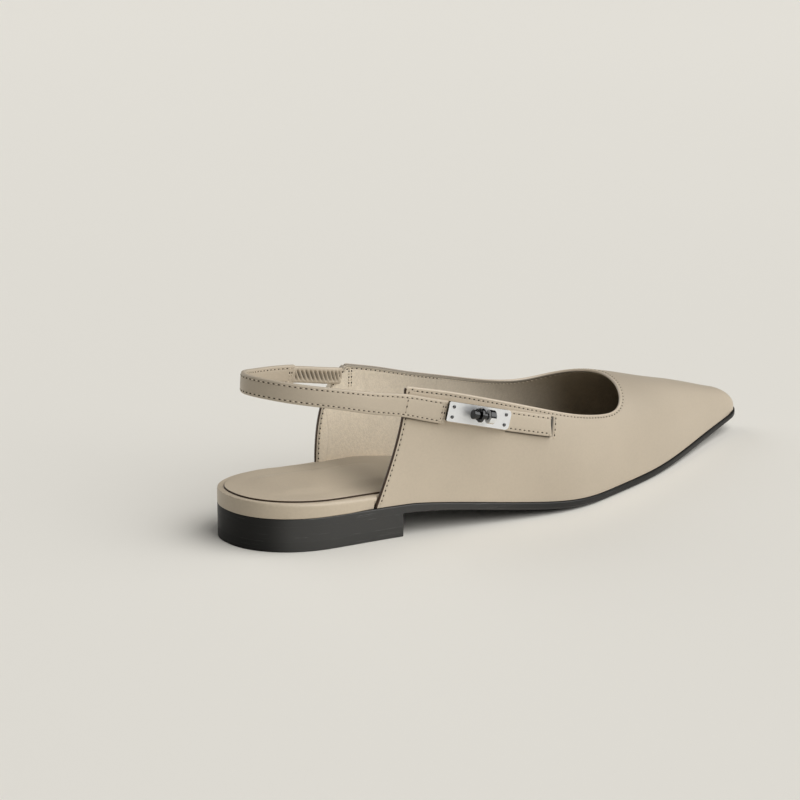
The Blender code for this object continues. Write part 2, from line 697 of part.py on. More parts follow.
def make_knob(parent):
    """Thumb turn: stem in the plate's bore, collar on the plate, and a turned toggle lying across the stem."""
    foot = PLATE_THICK + GAP
    profile = (
        (0.0, 0.1),
        (KNOB_STEM, 0.1),
        (KNOB_STEM, foot),
        (KNOB_COLLAR, foot),
        (KNOB_COLLAR, foot + KNOB_COLLAR_HIGH - 0.2),
        (KNOB_COLLAR - 0.3, foot + KNOB_COLLAR_HIGH),
        (KNOB_STEM, foot + KNOB_COLLAR_HIGH),
        (KNOB_STEM, KNOB_RISE),
        (0.0, KNOB_RISE),
    )
    spot = Matrix.Translation(Vector((*KNOB_PLACE, 0.0)) * MM)
    knob = add_object("turn_knob", spun(profile, 24), "polished_metal", parent, spot)
    toggle = spun([(row.radius, row.along) for row in KNOB_TOGGLE], 24)
    lie = Matrix.Translation(Vector((0.0, 0.0, KNOB_RISE)) * MM) @ Matrix.Rotation(math.pi / 2.0, 4, "Y")
    toggle.transform(lie)
    cutter = add_object("knob_toggle", toggle, "polished_metal", parent, spot)
    cutter.hide_render = True
    cutter.display_type = "WIRE"
    join = knob.modifiers.new("toggle", "BOOLEAN")
    join.operation = "UNION"
    join.object = cutter


def main():
    for item in list(bpy.data.objects):
        bpy.data.objects.remove(item, do_unlink=True)
    origin = Matrix.Translation(Vector((-HEEL_REST[0], -HEEL_REST[1], 0.0)) * MM)
    shoe = add_empty("shoe", origin)
    make_outsole(shoe)
    make_heel(shoe)
    make_footbed(shoe)
    make_sock(shoe)
    make_upper(shoe)
    make_sling(shoe)
    lock = add_empty("lock", lock_matrix(*make_tab(shoe)), shoe)
    make_plate(lock)
    make_pins(lock)
    make_knob(lock)


main()
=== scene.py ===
"""Looks of the right slingback flat with a turn-lock strap, laid out as a Blender add-on.

Shapes are worked out in millimetres: "along" runs from the back of the heel to the toe, "across" is
positive to the medial side, and heights are above the floor. A side is LATERAL (-1) or MEDIAL (+1).
to_frame() gives the frame's metres.
"""

from collections import namedtuple
import math

import bmesh
import bpy
from bpy.props import FloatProperty, FloatVectorProperty, IntProperty, PointerProperty
from mathutils import Matrix, Vector
import numpy as np


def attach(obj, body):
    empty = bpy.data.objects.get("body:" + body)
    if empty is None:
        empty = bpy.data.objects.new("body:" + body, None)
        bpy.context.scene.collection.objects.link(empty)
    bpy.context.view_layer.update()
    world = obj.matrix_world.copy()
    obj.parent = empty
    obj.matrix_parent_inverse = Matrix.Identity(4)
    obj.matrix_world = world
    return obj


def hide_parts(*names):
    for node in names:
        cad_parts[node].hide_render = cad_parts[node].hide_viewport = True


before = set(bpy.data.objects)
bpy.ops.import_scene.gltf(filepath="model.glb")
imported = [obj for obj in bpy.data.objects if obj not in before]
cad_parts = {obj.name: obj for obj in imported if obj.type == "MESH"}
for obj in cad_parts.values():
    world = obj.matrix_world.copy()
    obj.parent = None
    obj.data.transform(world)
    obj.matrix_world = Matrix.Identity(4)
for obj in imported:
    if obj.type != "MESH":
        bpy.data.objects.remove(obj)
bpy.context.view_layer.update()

bl_info = {
    "name": "Slingback flat",
    "version": (1, 0, 0),
    "blender": (4, 5, 0),
    "location": "View3D > Sidebar > Shoe",
    "description": "Dresses the solids of a slingback flat in leather, stitches and polished metal",
    "category": "Object",
}

SHOE, KNOB = "shoe", "knob"

MM = 0.001
LATERAL, MEDIAL = -1, 1
SIDES = (LATERAL, MEDIAL)
SHARP_EDGE = 35.0  # degrees from which an edge is shaded sharp
WELD = 0.002  # points closer than this are joined
HEEL_REST = np.array([33.0, -4.5, 0.0])  # the frame's origin
LENGTH = 265.6

# Sole plan: centre line and half breadth
Plan = namedtuple("Plan", "along centre half_breadth")
SOLE_PLAN = (
    Plan(0.0, 0.0, 26.2),
    Plan(36.0, -4.9, 26.3),
    Plan(65.0, -9.4, 25.7),
    Plan(91.0, -13.8, 26.9),
    Plan(115.0, -14.6, 31.0),
    Plan(138.0, -11.8, 36.0),
    Plan(160.0, -6.9, 36.0),
    Plan(185.0, -3.5, 31.6),
    Plan(210.0, -0.5, 24.2),
    Plan(235.0, 2.4, 15.2),
    Plan(250.0, 3.7, 10.0),
    Plan(265.6, 5.0, 5.0),
)
HEEL_ROUND = {LATERAL: 31.0, MEDIAL: 40.0}
HEEL_POWER = 2.18
TOE_ROUND, TOE_POWER = 7.0, 2.2

# Sole profile
OUTSOLE_THICK = 3.2
SEAT_BACK, SEAT_BREAST = 10.5, 9.6
BREAST = 66.0
ARCH_SLOPE = -0.085
TREAD_BACK, TREAD_FRONT = 158.0, 188.0
TOE_SPRING, SPRING_POWER = 5.9, 1.7
EDGE_BEVEL, EDGE_BREAK = 0.9, 0.4
TOE_FEATHER, FEATHER_SPAN = 0.4, (235.0, 262.0)  # the sole's edge is thinned towards the toe
TOP_PIECE = 4.2
BREAST_LINE = {LATERAL: 60.9, MEDIAL: 68.0}
SOLE_GAP = 0.3  # the solids' own clearance, kept where it sets a height
LAYER_GAP = 0.01  # between the heel's layers
BREAST_FADE = 16.0  # the bevel starts over this distance in front of the breast
TREAD_IN, TREAD_UP = 0.25, 0.08  # soft corner between the tread and the bevel
SIDE_IN, SIDE_SHARE, SIDE_UP = 0.06, 0.86, (0.1, 0.3)  # soft corner between the bevel and the sole's side
WEAR_ROUND, WEAR_MIDDLE = 0.35, (0.1, 0.12)  # rounding of the wear layer's lower edge, and a point on it

# Footbed board and insole sock
BOARD_HEEL, BOARD_FRONT, BOARD_EASE = 6.0, 2.6, 115.0
BOARD_INSET = 2.7
BOARD_LIFT, BOARD_FOOT, POCKET_LIP = 0.05, 0.3, 0.3  # clearance below, and rounding of the foot and the lip
BOARD_EASE_IN, BOARD_EASE_SPAN = 0.85, (12.0, 1.0)  # the board draws in behind the quarters' back edges
BOARD_STEP, BOARD_STEP_END = 0.9, 0.05  # and steps in at the edges
STEP_ROWS = (47.0, 57.0, 41)
RIM_WIDE, RIM_ROUND = 2.6, 1.5
RIM_EASE = (28.0, 60.0)
POCKET, GROOVE = 1.6, 0.12
SOCK_PROUD, SOCK_ROUND = 0.7, 0.2
ARCH_RISE = 3.1
ARCH_UP, ARCH_DOWN = (34.0, 76.0), (88.0, 118.0)
PAD_MIDDLE, PAD_LONG = 42.0, 31.0  # padding under the sock's heel, along
PAD_EDGE = 0.7  # share of the half breadth where the padding ends
PAD_SLOPE = (0.4, 0.45)  # share of its length and of its breadth that slopes
SOCK_COLUMNS = 28

# Upper
UPPER_WALL, UPPER_INSET = 1.5, 0.6
SECTION_POWER = 2.5
RIDGE_ROUND, RIDGE_POWER = 12.8, 2.2
TOE_FLAT = 0.12
TOE_THIN, TOE_THIN_SPAN = 0.9, (7.0, 1.0)  # the wall is thinned over this stretch before the toe's tip
# The inner part of the folded topline is painted darker, as shade of the foot opening
FOLD_POWER, FOLD_INNER, FOLD_SHADE = 0.8, 0.55, 0.4  # bulge of the folded topline, and its shaded inner part
Ridge = namedtuple("Ridge", "along height")
LAST_RIDGE = (
    Ridge(45.0, 175.0),
    Ridge(80.0, 118.0),
    Ridge(110.0, 82.0),
    Ridge(140.0, 56.5),
    Ridge(165.0, 44.5),
    Ridge(190.0, 38.5),
    Ridge(210.0, 32.7),
    Ridge(233.0, 26.4),
    Ridge(250.0, 21.0),
    Ridge(265.6, 16.9),
)
Topline = namedtuple("Topline", "along lateral medial")
TOPLINE = (
    Topline(50.0, 64.8, 62.4),
    Topline(62.0, 61.3, 59.5),
    Topline(80.0, 56.9, 55.7),
    Topline(93.0, 53.2, 52.1),
    Topline(106.0, 49.3, 48.6),
    Topline(120.0, 44.9, 44.6),
    Topline(135.0, 40.1, 40.3),
    Topline(150.0, 35.8, 36.9),
    Topline(165.0, 32.7, 35.4),
    Topline(180.0, 31.2, 36.0),
)
THROAT_START, THROAT_APEX = 150.0, 185.0
Bend = namedtuple("Bend", "start_power end_power")  # shape of a curve where it leaves and where it arrives
THROAT = {LATERAL: Bend(6.0, 1.25), MEDIAL: Bend(3.0, 0.6)}
QuarterBack = namedtuple("QuarterBack", "foot reach bend")
QUARTER_BACK = {
    LATERAL: QuarterBack(49.3, 13.1, Bend(0.8, 1.65)),
    MEDIAL: QuarterBack(53.0, 12.2, Bend(2.2, 1.0)),
}
CORNER_STEPS = (0.0, 0.25, 0.6, 1.1, 1.8, 2.7, 3.8, 5.2, 6.8)  # rays in front of the back corner, in mm
TOPLINE_STEPS, WALL_STEPS, RIM_STEPS = 74, 42, 8
HIDDEN_HOLES = 112.0  # the lining's needle holes are lost in the shade in front of here
BOW_FADE = 40.0  # how far in front of the back edge its bow fades out
TOE_RAYS = 0.86  # share of the topline's rays that end on the sole line; the rest end on the toe
RAY_LEAD, RAY_POWER = 0.15, 6  # how the rays' ends open out towards the toe
ROW_CLOSE = 0.45  # how much closer the rows lie at the topline and at the sole
TOE_CLOSE, TOE_CLOSE_FROM = 1.4, 0.75  # and how much closer at the toe
WALL_PROBE = 3.0  # distance over which the wall's directions are measured

# Sling
STRAP_FRONT, STRAP_SLOPE = (77.8, 49.2), -0.29
STRAP_ON_QUARTER = (77.8, 70.0, 62.0)
Sling = namedtuple("Sling", "along across height lean")
SLING_FREE = (
    Sling(50.0, -32.4, 56.1, 0.07),
    Sling(34.0, -29.0, 59.8, 0.05),
    Sling(19.4, -22.8, 62.7, 0.05),
    Sling(10.5, -13.5, 64.2, 0.06),
    Sling(8.0, -3.7, 64.2, 0.07),
    Sling(11.5, 3.6, 63.1, 0.06),
    Sling(19.2, 10.6, 60.9, 0.05),
    Sling(29.5, 15.4, 59.0, 0.05),
    Sling(38.0, 17.0, 57.9, 0.05),
    Sling(43.4, 16.9, 57.3, 0.05),
    Sling(56.0, 14.3, 55.4, 0.06),
)
SLING_MIDDLE = (45.0, -6.0)
ELASTIC_ON_QUARTER = ((66.0, 53.6), (71.5, 52.6))
ELASTIC_DEPTH = 0.75  # how far under the lining's face the elastic's end is sewn in
STRAP_THICK, STRAP_WIDE_FRONT, STRAP_WIDE_BACK, STRAP_EASE = 2.0, 9.4, 8.0, 60.0
ELASTIC_THICK, ELASTIC_WIDE, ELASTIC_END_THICK = 2.4, 6.8, 0.9
LAID_ON = 0.25  # clearance of a strap laid on the wall
STRAP_REACH = 1.6  # how far the strap's end reaches up to the plate
STRAP_ENDS = 0.6  # the straps' rows of points stop this far before their rounded ends
STRAP_ROWS, STRAP_END_ROWS = (-0.2, 0.9, 16.6), (1.6, 2.7)  # rows across it: from its front, before its end
OUTSIDE, BOTH_FACES = (1,), (1, -1)
ROW_POINTS, STRAP_COLUMNS = 8, 26
STRAP_ROUND = ((0.45, 0.55), (0.2, 0.25), (0.05, 0.08))  # how far its end rows draw in and stand out
STRAP_LEAST = 0.15  # half thickness that the ends keep
FACE_ROUND, FACE_CROWN, FACE_EDGE = (9, 0.28), 0.1, 0.98  # a strap's section: edges, crown, and its end
SEAM_DEEP, SEAM_WIDE = 0.12, 0.45  # dip along a strap's stitch rows
BAND_POINTS, BAND_POWERS, BAND_LEAN = 44, (0.7, 0.5, 0.3), 0.45  # points round the band, and its section
ELASTIC_LAP = 0.9  # how far the band starts inside the strap's end
ELASTIC_FLAT = (11.0, 6.0)  # the band flattens over this stretch before its sewn end
ELASTIC_FREE = (0.2, 1.6)  # its gathers rise over this stretch from its start
ELASTIC_ROWS, ELASTIC_ROW_SPAN = (67.6, 68.7), (49.6, 57.0)  # the rows that sew it in: along, and heights
GATHER_SLANT, GATHER_EDGE, GATHER_POWER = 0.9, 0.68, 0.35  # the gathers' lean, outer end and roundness

# Turn-lock
TAB_LINE, TAB_SLOPE = (78.6, 49.6), -0.275
TAB_BACK, TAB_FRONT = 78.2, 126.0
TAB_THICK, TAB_WIDE = 1.6, 8.4
TAB_END = (-3.0, -2.8, 0.7)  # last flat row, first and last row of its end, from TAB_FRONT
TAB_SINKS, TAB_UNDER = (-1.6, 0.5), 0.9  # where its end sinks into the slit, from TAB_FRONT, and how deep
TAB_THINS = 0.6  # share of its thickness that its end loses
TAB_SEWN = (2.0, 1.8)  # its rows start under the plate's end, and stop before TAB_FRONT
# The tab's slit is a painted dark line, as the shade in its opening
SLIT_AHEAD, SLIT_DROP, SLIT_SHORT, SLIT_WIDTH = 0.3, 0.1, 0.4, 0.95
SLIT_ROW, SLIT_ROW_OVER = 2.3, 0.6  # the row sewn ahead of the slit, and its length beyond the tab's width
# Painted shadow: a dark line on the wall under the lower edges of strap and tab
SHADOW_BELOW, SHADOW_WIDTH, SHADOW_DARKNESS = 0.1, 0.4, 0.85  # the dark line under a strap's lower edge
DrawnLine = namedtuple("DrawnLine", "point run across half width depth")
WALL_REACH = 8.0  # how far off its own plane a line drawn on a wall still counts
LINE_FADE = 0.5  # over which a drawn line's ends fade
CAD_LAID_ON, CAD_TAB_POINTS = 0.4, 20  # the solids' own values, which set the plate's place
PLATE_CENTRE, PLATE_RAISE = 91.7, 0.4
PLATE_LONG, PLATE_WIDE, PLATE_THICK = 27.9, 7.9, 1.4
PIN_INSET = (2.2, 1.9)
PIN_HEAD, PIN_DOME, PIN_FOOT = 0.75, 0.35, 1.3
PIN_LIFT, PIN_SHANK, PIN_BREAK = 0.02, (0.9, 0.97), 0.12  # clearance, shank to head, dome's first turn
PLATE_CORNER = 50.0  # degrees from which the plate's edges are broken
# Sides of the plate that face up or back are painted dark, as the dark room they reflect
PLATE_FLAT, PLATE_DARK_REFLECTION = 0.97, 0.2  # how square a flat face lies, and how far a dark side looks up or back
KNOB_PLACE = (0.0, 0.7)
KNOB_STEM, KNOB_COLLAR, KNOB_COLLAR_HIGH, KNOB_FOOT = 1.4, 2.7, 0.6, 1.42
KNOB_RISE, KNOB_START, KNOB_CHAMFER = 4.9, 0.1, 0.3
DRUM_START, DRUM_FACE = 1.85, -0.9  # the bright drum of the toggle begins here, and its face looks back
Toggle = namedtuple("Toggle", "along radius")
KNOB_TOGGLE = (
    Toggle(-5.0, 0.0),
    Toggle(-5.0, 1.75),
    Toggle(-4.85, 1.9),
    Toggle(-4.2, 1.9),
    Toggle(-4.0, 1.6),
    Toggle(-1.9, 1.6),
    Toggle(-1.9, 2.65),
    Toggle(-1.75, 2.8),
    Toggle(-0.95, 2.8),
    Toggle(-0.8, 2.65),
    Toggle(-0.8, 1.3),
    Toggle(1.9, 1.3),
    Toggle(1.9, 2.65),
    Toggle(2.05, 2.8),
    Toggle(4.3, 2.8),
    Toggle(4.5, 2.6),
    Toggle(4.5, 0.0),
)

# Painted light and shade along the shoe: distance along, and how much lighter or darker it is painted
UPPER_PAINTED_LIGHT = ((90.0, 1.11), (150.0, 0.92), (200.0, 0.9), (235.0, 0.94))
STRAP_PAINTED_LIGHT = ((8.0, 0.88), (55.0, 1.03))
LINING_PAINTED_LIGHT = ((70.0, 1.46), (110.0, 1.05), (165.0, 0.85))
RIM_PAINTED_LIGHT = ((-1.0, 0.84), (10.0, 1.07), (50.0, 1.04))
SOCK_PAINTED_SHADE = ((34.0, 1.0), (60.0, 0.53))
BLACK_PAINTED_LIGHT = ((-2.0, 0.35), (6.0, 0.75), (16.0, 2.3), (75.0, 2.35), (130.0, 0.9), (200.0, 0.5))
BLACK_GLOSS = 0.6  # of the burnished sides; the heel's back and the forepart stay duller
GLOSS_RISE, GLOSS_FALL, GLOSS_LOST = (2.0, 20.0), (90.0, 180.0), 0.7

# Stitches: shares of a thread's width and of a needle hole's length
THREAD_HIGH, THREAD_LIFT = 0.4, 0.3
HOLE_BROAD, HOLE_DEEP = 0.3, 0.12

# Camera: its place, how it looks round and down, and its focal length
CAMERA_PLACE = (-0.5849, -0.9086, 0.3759)
CAMERA_AZIMUTH, CAMERA_ELEVATION = -34.822, 16.617
CAMERA_LENS, CAMERA_SENSOR = 129.5, 36.0
KEY_FROM, KEY_TINT = (0.41, -0.55, 0.727), (1.0, 0.988, 0.968)
BACK_FROM, BACK_SPREAD = (-0.32, 0.87, 0.375), 60.0
SKY_TINT = (1.0, 0.985, 0.955)
# The floor is painted lighter to one side, as light
FLOOR_LIGHT_RUN, FLOOR_LIGHT_FADE = (0.87, 0.49, 0.0), (-900.0, 1500.0)  # the way the floor grows lighter, and how far


def length(name, description, default):
    """A size in metres that a user may change."""
    return FloatProperty(
        name=name, description=description, default=default, subtype="DISTANCE", unit="LENGTH", precision=5
    )


def colour(name, description, default):
    """A linear colour that a user may change."""
    return FloatVectorProperty(
        name=name, description=description, default=default, size=3, min=0.0, max=1.0, subtype="COLOR"
    )


def strength(name, description, default):
    """A light's strength that a user may change."""
    return FloatProperty(name=name, description=description, default=default, min=0.0)


class ShoeSizes(bpy.types.PropertyGroup):
    """Sizes of the sewing and the edges."""

    stitch_pitch: length("Stitch pitch", "From one needle hole to the next", 0.0021)
    thread_long: length("Thread length", "Thread that shows between two needle holes", 0.001)
    thread_wide: length("Thread width", "Thickness of the sewing thread", 0.00045)
    hole_wide: length("Needle hole", "Length of a needle hole", 0.00092)
    seam_inset: length("Seam inset", "Stitch row of the upper from its cut edge", 0.0015)
    strap_inset: length("Strap seam inset", "Stitch rows of strap and tab from their edges", 0.0012)
    corner_round: length("Quarter corner", "Radius of the quarters' top back corners", 0.0014)
    edge_round: length("Edge rounding", "Depth of the upper's rounded edges", 0.0006)
    gather_depth: length("Gather depth", "Height of the elastic's gathers", 0.0007)
    gathers: IntProperty(name="Gathers", description="Folds along the elastic", default=16, min=1)
    heel_pad: length("Heel pad", "Height of the padding under the sock's heel", 0.0012)
    plate_round: length("Plate edges", "Bevel of the plate's edges", 0.0002)


class ShoeColours(bpy.types.PropertyGroup):
    """Colours of the leathers, paints and metal."""

    calf: colour("Calf", "Outer leather", (0.555, 0.478, 0.375))
    lining: colour("Lining", "Inner leather", (0.62, 0.555, 0.455))
    footbed: colour("Footbed", "Leather of the board's wrapped rim and the sock", (0.57, 0.487, 0.375))
    thread: colour("Thread", "Sewing thread", (0.66, 0.58, 0.46))
    needle_hole: colour("Needle holes", "Shade in the needle holes", (0.02, 0.013, 0.008))
    edge_paint: colour("Edge paint", "Paint on the quarters' cut back edges", (0.07, 0.042, 0.026))
    sole: colour("Sole edge", "Black of the sole and the heel", (0.02, 0.02, 0.0195))
    rubber: colour("Wear layer", "Black of the heel's wear layer", (0.019, 0.019, 0.0185))
    metal: colour("Metal", "Polished plate and knob", (0.92, 0.935, 0.95))
    floor: colour("Floor", "Studio floor", (0.88, 0.862, 0.81))


class ShoeStage(bpy.types.PropertyGroup):
    """Lights of the studio."""

    key: strength("Key light", "Wide soft light from the toe's outer side", 3.05)
    key_spread: FloatProperty(
        name="Key spread",
        description="Angle that the key light fills",
        default=math.radians(74.0),
        subtype="ANGLE",
        unit="ROTATION",
    )
    back: strength("Back light", "Low soft light from the inner side", 1.0)
    sky: strength("Room light", "Even light from all round", 0.05)
    floor_wide: length("Floor", "Side of the floor", 40.0)


class Wire:
    """A node's output in an expression: each operator adds a Math node."""

    def __init__(self, graph, socket):
        self.graph = graph
        self.socket = socket

    def math(self, operation, first, second=0.0):
        return self.graph.node("ShaderNodeMath", {"operation": operation}, {0: first, 1: second})

    def __add__(self, other):
        return self.math("ADD", self, other)

    def __sub__(self, other):
        return self.math("SUBTRACT", self, other)

    def __rsub__(self, other):
        return self.math("SUBTRACT", other, self)

    def __mul__(self, other):
        return self.math("MULTIPLY", self, other)

    def __truediv__(self, other):
        return self.math("DIVIDE", self, other)

    def __pow__(self, other):
        return self.math("POWER", self, other)

    def __lt__(self, other):
        return self.math("LESS_THAN", self, other)

    def __gt__(self, other):
        return self.math("GREATER_THAN", self, other)

    __radd__ = __add__
    __rmul__ = __mul__

    def smallest(self, other):
        return self.math("MINIMUM", self, other)

    def cosine(self):
        return self.math("COSINE", self)

    def size(self):
        return self.math("ABSOLUTE", self)

    def ridge(self, middle, width):
        """1 at the middle, falling off softly over the width on both sides."""
        off = (self - middle) / width
        return self.math("EXPONENT", off * off * -1.0)

    def step(self, start, end):
        """0 before start, 1 after end, smooth between."""
        settings = {"interpolation_type": "SMOOTHSTEP", "clamp": True}
        sockets = {"Value": self, "From Min": start, "From Max": end, "To Min": 0.0, "To Max": 1.0}
        return self.graph.node("ShaderNodeMapRange", settings, sockets)


class Graph:
    """A node tree that is built by expressions."""

    def __init__(self, tree):
        self.tree = tree

    def node(self, kind, settings=None, sockets=None, output=0):
        """Adds a node: its settings first, then the values or links of its sockets."""
        made = self.tree.nodes.new(kind)
        for name, value in (settings or {}).items():
            setattr(made, name, value)
        for key, value in (sockets or {}).items():
            self.plug(made.inputs[key], value)
        return Wire(self, made.outputs[output])

    def plug(self, socket, value):
        if isinstance(value, Wire):
            self.tree.links.new(value.socket, socket)
        elif value is not None:
            socket.default_value = value

    def named(self, name, kind="FLOAT"):
        """An attribute of the geometry, by its name."""
        settings, sockets = {"data_type": kind}, {"Name": name}
        return self.node("GeometryNodeInputNamedAttribute", settings, sockets, "Attribute")

    def painted(self, geometry, material):
        """Geometry with its instances made real, in a material."""
        real = self.node("GeometryNodeRealizeInstances", None, {"Geometry": geometry})
        return self.node("GeometryNodeSetMaterial", None, {"Geometry": real, "Material": material})


class Finish(Graph):
    """A material: constants go straight on the shader, expressions through plug_in."""

    def __init__(self, name, **constants):
        self.material = bpy.data.materials.new(name)
        self.material.use_nodes = True
        super().__init__(self.material.node_tree)
        self.shader = self.tree.nodes["Principled BSDF"]
        self.place = self.node("ShaderNodeTexCoord", output="Object")
        for name, value in constants.items():
            self.shader.inputs[name.replace("_", " ").title().replace("Ior", "IOR")].default_value = value

    def plug_in(self, base=None, roughness=None, height=None, coat=None):
        """Feeds the shader; height is a relief in millimetres."""
        self.plug(self.shader.inputs["Base Color"], base)
        self.plug(self.shader.inputs["Roughness"], roughness)
        self.plug(self.shader.inputs["Coat Weight"], coat)
        if height is not None:
            bump = self.node("ShaderNodeBump", None, {"Strength": 1.0, "Distance": MM, "Height": height})
            self.plug(self.shader.inputs["Normal"], bump)
        return self.material

    def scaled(self, x, y, z):
        return self.node("ShaderNodeMapping", None, {"Vector": self.place, "Scale": (x, y, z)})

    def noise(self, per_mm, detail=2.0, place=None):
        """Noise about 0.5 with features of one over per_mm millimetres."""
        sockets = {"Vector": place or self.place, "Scale": per_mm / MM, "Detail": detail}
        return self.node("ShaderNodeTexNoise", None, sockets, "Fac")

    def cells(self, per_mm):
        """Distance from the edges of a net of cells."""
        sockets = {"Vector": self.place, "Scale": per_mm / MM}
        return self.node("ShaderNodeTexVoronoi", {"feature": "DISTANCE_TO_EDGE"}, sockets, "Distance")

    def attribute(self, name):
        return self.node("ShaderNodeAttribute", {"attribute_name": name}, output="Fac")

    def mixed(self, share, first, second):
        """Colour between two colours, or two colour outputs."""
        sockets = {0: share, 6: rgba(first), 7: rgba(second)}
        return self.node("ShaderNodeMix", {"data_type": "RGBA"}, sockets, 2)

    def along(self, point, direction):
        """Distance in millimetres of a surface point from a place, along a direction."""
        offset = self.node("ShaderNodeVectorMath", {"operation": "SUBTRACT"}, {0: self.place, 1: point})
        sockets = {0: offset, 1: direction}
        return self.node("ShaderNodeVectorMath", {"operation": "DOT_PRODUCT"}, sockets, "Value") / MM

    def along_shoe(self):
        """Distance in millimetres from the back of the heel."""
        return self.along(to_frame((0.0, HEEL_REST[1], 0.0)), (1.0, 0.0, 0.0))

    def dimmed(self, value, factor):
        """A colour made darker or lighter by a factor that varies."""
        return self.node("ShaderNodeVectorMath", {"operation": "SCALE"}, {0: value, "Scale": factor})

    def lit_and_shaded(self, base, stops):
        """Base colour with painted light and shade: stops of a distance along the shoe and a factor."""
        place = self.along_shoe()
        value = shade(base, stops[0][1])
        for (start, _), (end, factor) in zip(stops, stops[1:]):
            value = self.mixed(place.step(start, end), value, shade(base, factor))
        return value


def rgba(value):
    """A colour with its opacity; a wire stays as it is."""
    return value if isinstance(value, Wire) else (*value, 1.0)


def shade(value, factor):
    """A colour made darker or lighter."""
    return tuple(min(1.0, part * factor) for part in value)


def to_frame(points):
    """Points in the frame's metres."""
    return (np.asarray(points, float) - HEEL_REST) * MM


def unit(vectors):
    return vectors / np.linalg.norm(vectors, axis=-1, keepdims=True)


def natural_spline(knots, values, at):
    """Natural cubic curve through the values at the knots; values may be points."""
    knots, values = np.asarray(knots, float), np.asarray(values, float)
    steps = np.diff(knots)
    count = len(knots)
    system = np.eye(count)
    bend = np.zeros(values.shape)
    for i in range(1, count - 1):
        system[i, i - 1 : i + 2] = steps[i - 1], 2.0 * (steps[i - 1] + steps[i]), steps[i]
        rise = (values[i + 1] - values[i]) / steps[i]
        bend[i] = 6.0 * (rise - (values[i] - values[i - 1]) / steps[i - 1])
    curve = np.linalg.solve(system, bend)
    at = np.asarray(at, float)
    cell = np.clip(np.searchsorted(knots, at) - 1, 0, count - 2)
    step = steps[cell]
    past = at - knots[cell]
    left = step - past
    if values.ndim > 1:
        step, past, left = step[:, None], past[:, None], left[:, None]
    cubic = (curve[cell] * left**3 + curve[cell + 1] * past**3) / (6.0 * step)
    straight = (values[cell] / step - curve[cell] * step / 6.0) * left
    return cubic + straight + (values[cell + 1] / step - curve[cell + 1] * step / 6.0) * past


def read(table, name, along):
    """A table's column at any distance along the shoe."""
    return natural_spline([row.along for row in table], [getattr(row, name) for row in table], along)


def ease(value, start, end):
    """0 before start, 1 after end, with a smooth step between."""
    share = np.clip((np.asarray(value, float) - start) / (end - start), 0.0, 1.0)
    return share * share * (3.0 - 2.0 * share)


def bent(share, bend):
    """0 to 1 over a share, along the curve that a bend describes."""
    return 1.0 - (1.0 - share**bend.start_power) ** bend.end_power


def round_end(distance, span, exponent):
    """Share of the full breadth at a distance from a rounded end."""
    inward = np.clip(1.0 - np.asarray(distance, float) / span, 0.0, 1.0)
    return (1.0 - inward**exponent) ** (1.0 / exponent)


def spread(start, end, rows):
    """Distances along, closer together at both ends."""
    share = (1.0 - np.cos(np.linspace(0.0, math.pi, rows + 1))) / 2.0
    return start + (end - start) * share


def half_spread(start, end, rows):
    """Distances along, closer together at the start only."""
    share = 1.0 - np.cos(np.linspace(0.0, math.pi / 2.0, rows + 1))
    return start + (end - start) * share


def sole_edge(along, side, inset=0.0, back=0.0, front=LENGTH):
    """Across of the sole outline, moved in by an inset, between its back and front ends."""
    breadth = read(SOLE_PLAN, "half_breadth", along) - inset
    heel = round_end(along - back, HEEL_ROUND[side] - back, HEEL_POWER)
    toe = round_end(front - along, TOE_ROUND, TOE_POWER)
    return read(SOLE_PLAN, "centre", along) + side * breadth * heel * toe


def tread(along):
    """Height of the outsole's underside."""
    along = np.asarray(along, float)
    seat = SEAT_BACK + (SEAT_BREAST - SEAT_BACK) * along / BREAST
    span = TREAD_BACK - BREAST
    t = np.clip((along - BREAST) / span, 0.0, 1.0)
    arch = SEAT_BREAST * (2.0 * t**3 - 3.0 * t**2 + 1.0) + ARCH_SLOPE * span * (t**3 - 2.0 * t**2 + t)
    rise = np.clip((along - TREAD_FRONT) / (LENGTH - TREAD_FRONT), 0.0, 1.0)
    spring = TOE_SPRING * rise**SPRING_POWER
    return np.where(along < BREAST, seat, np.where(along < TREAD_BACK, arch, spring))


def sole_top(along):
    return tread(along) + OUTSOLE_THICK


def board_top(along):
    thickness = BOARD_HEEL + (BOARD_FRONT - BOARD_HEEL) * ease(along, 0.0, BOARD_EASE)
    return sole_top(along) + SOLE_GAP + thickness


def quarter_edge(rise, side):
    """Along of a quarter's back edge at a height above its foot."""
    back = QUARTER_BACK[side]
    top = back.foot + back.reach
    lift = turn_at(back.foot, upper_base(back.foot) + rise) / topline_turn(top, side, 0.0)
    return back.foot + back.reach * bent(lift, back.bend)


def board_inset(along, side, rise):
    """How far the board's edge lies inside the sole's, at a height above its foot."""
    edge = quarter_edge(rise, side)
    start, end = BOARD_EASE_SPAN
    drawn_in = BOARD_EASE_IN * ease(along, edge - start, edge - end)
    return drawn_in + (BOARD_INSET - BOARD_EASE_IN) * ease(along, edge - BOARD_STEP, edge + BOARD_STEP_END)


def pocket_inset(along):
    return RIM_WIDE + BOARD_INSET * ease(along, *RIM_EASE)


def arch_rise(along, side):
    """How far the board's medial edge lies above its lateral one."""
    rise = ease(along, *ARCH_UP) - ease(along, *ARCH_DOWN)
    return ARCH_RISE * rise * (side == MEDIAL)


def upper_base(along):
    return sole_top(along) + SOLE_GAP


def upper_ridge(along):
    """Height of the last's ridge, rounded off at the toe."""
    full = read(LAST_RIDGE, "height", along) - upper_base(along)
    return upper_base(along) + full * round_end(LENGTH - UPPER_INSET - along, RIDGE_ROUND, RIDGE_POWER)


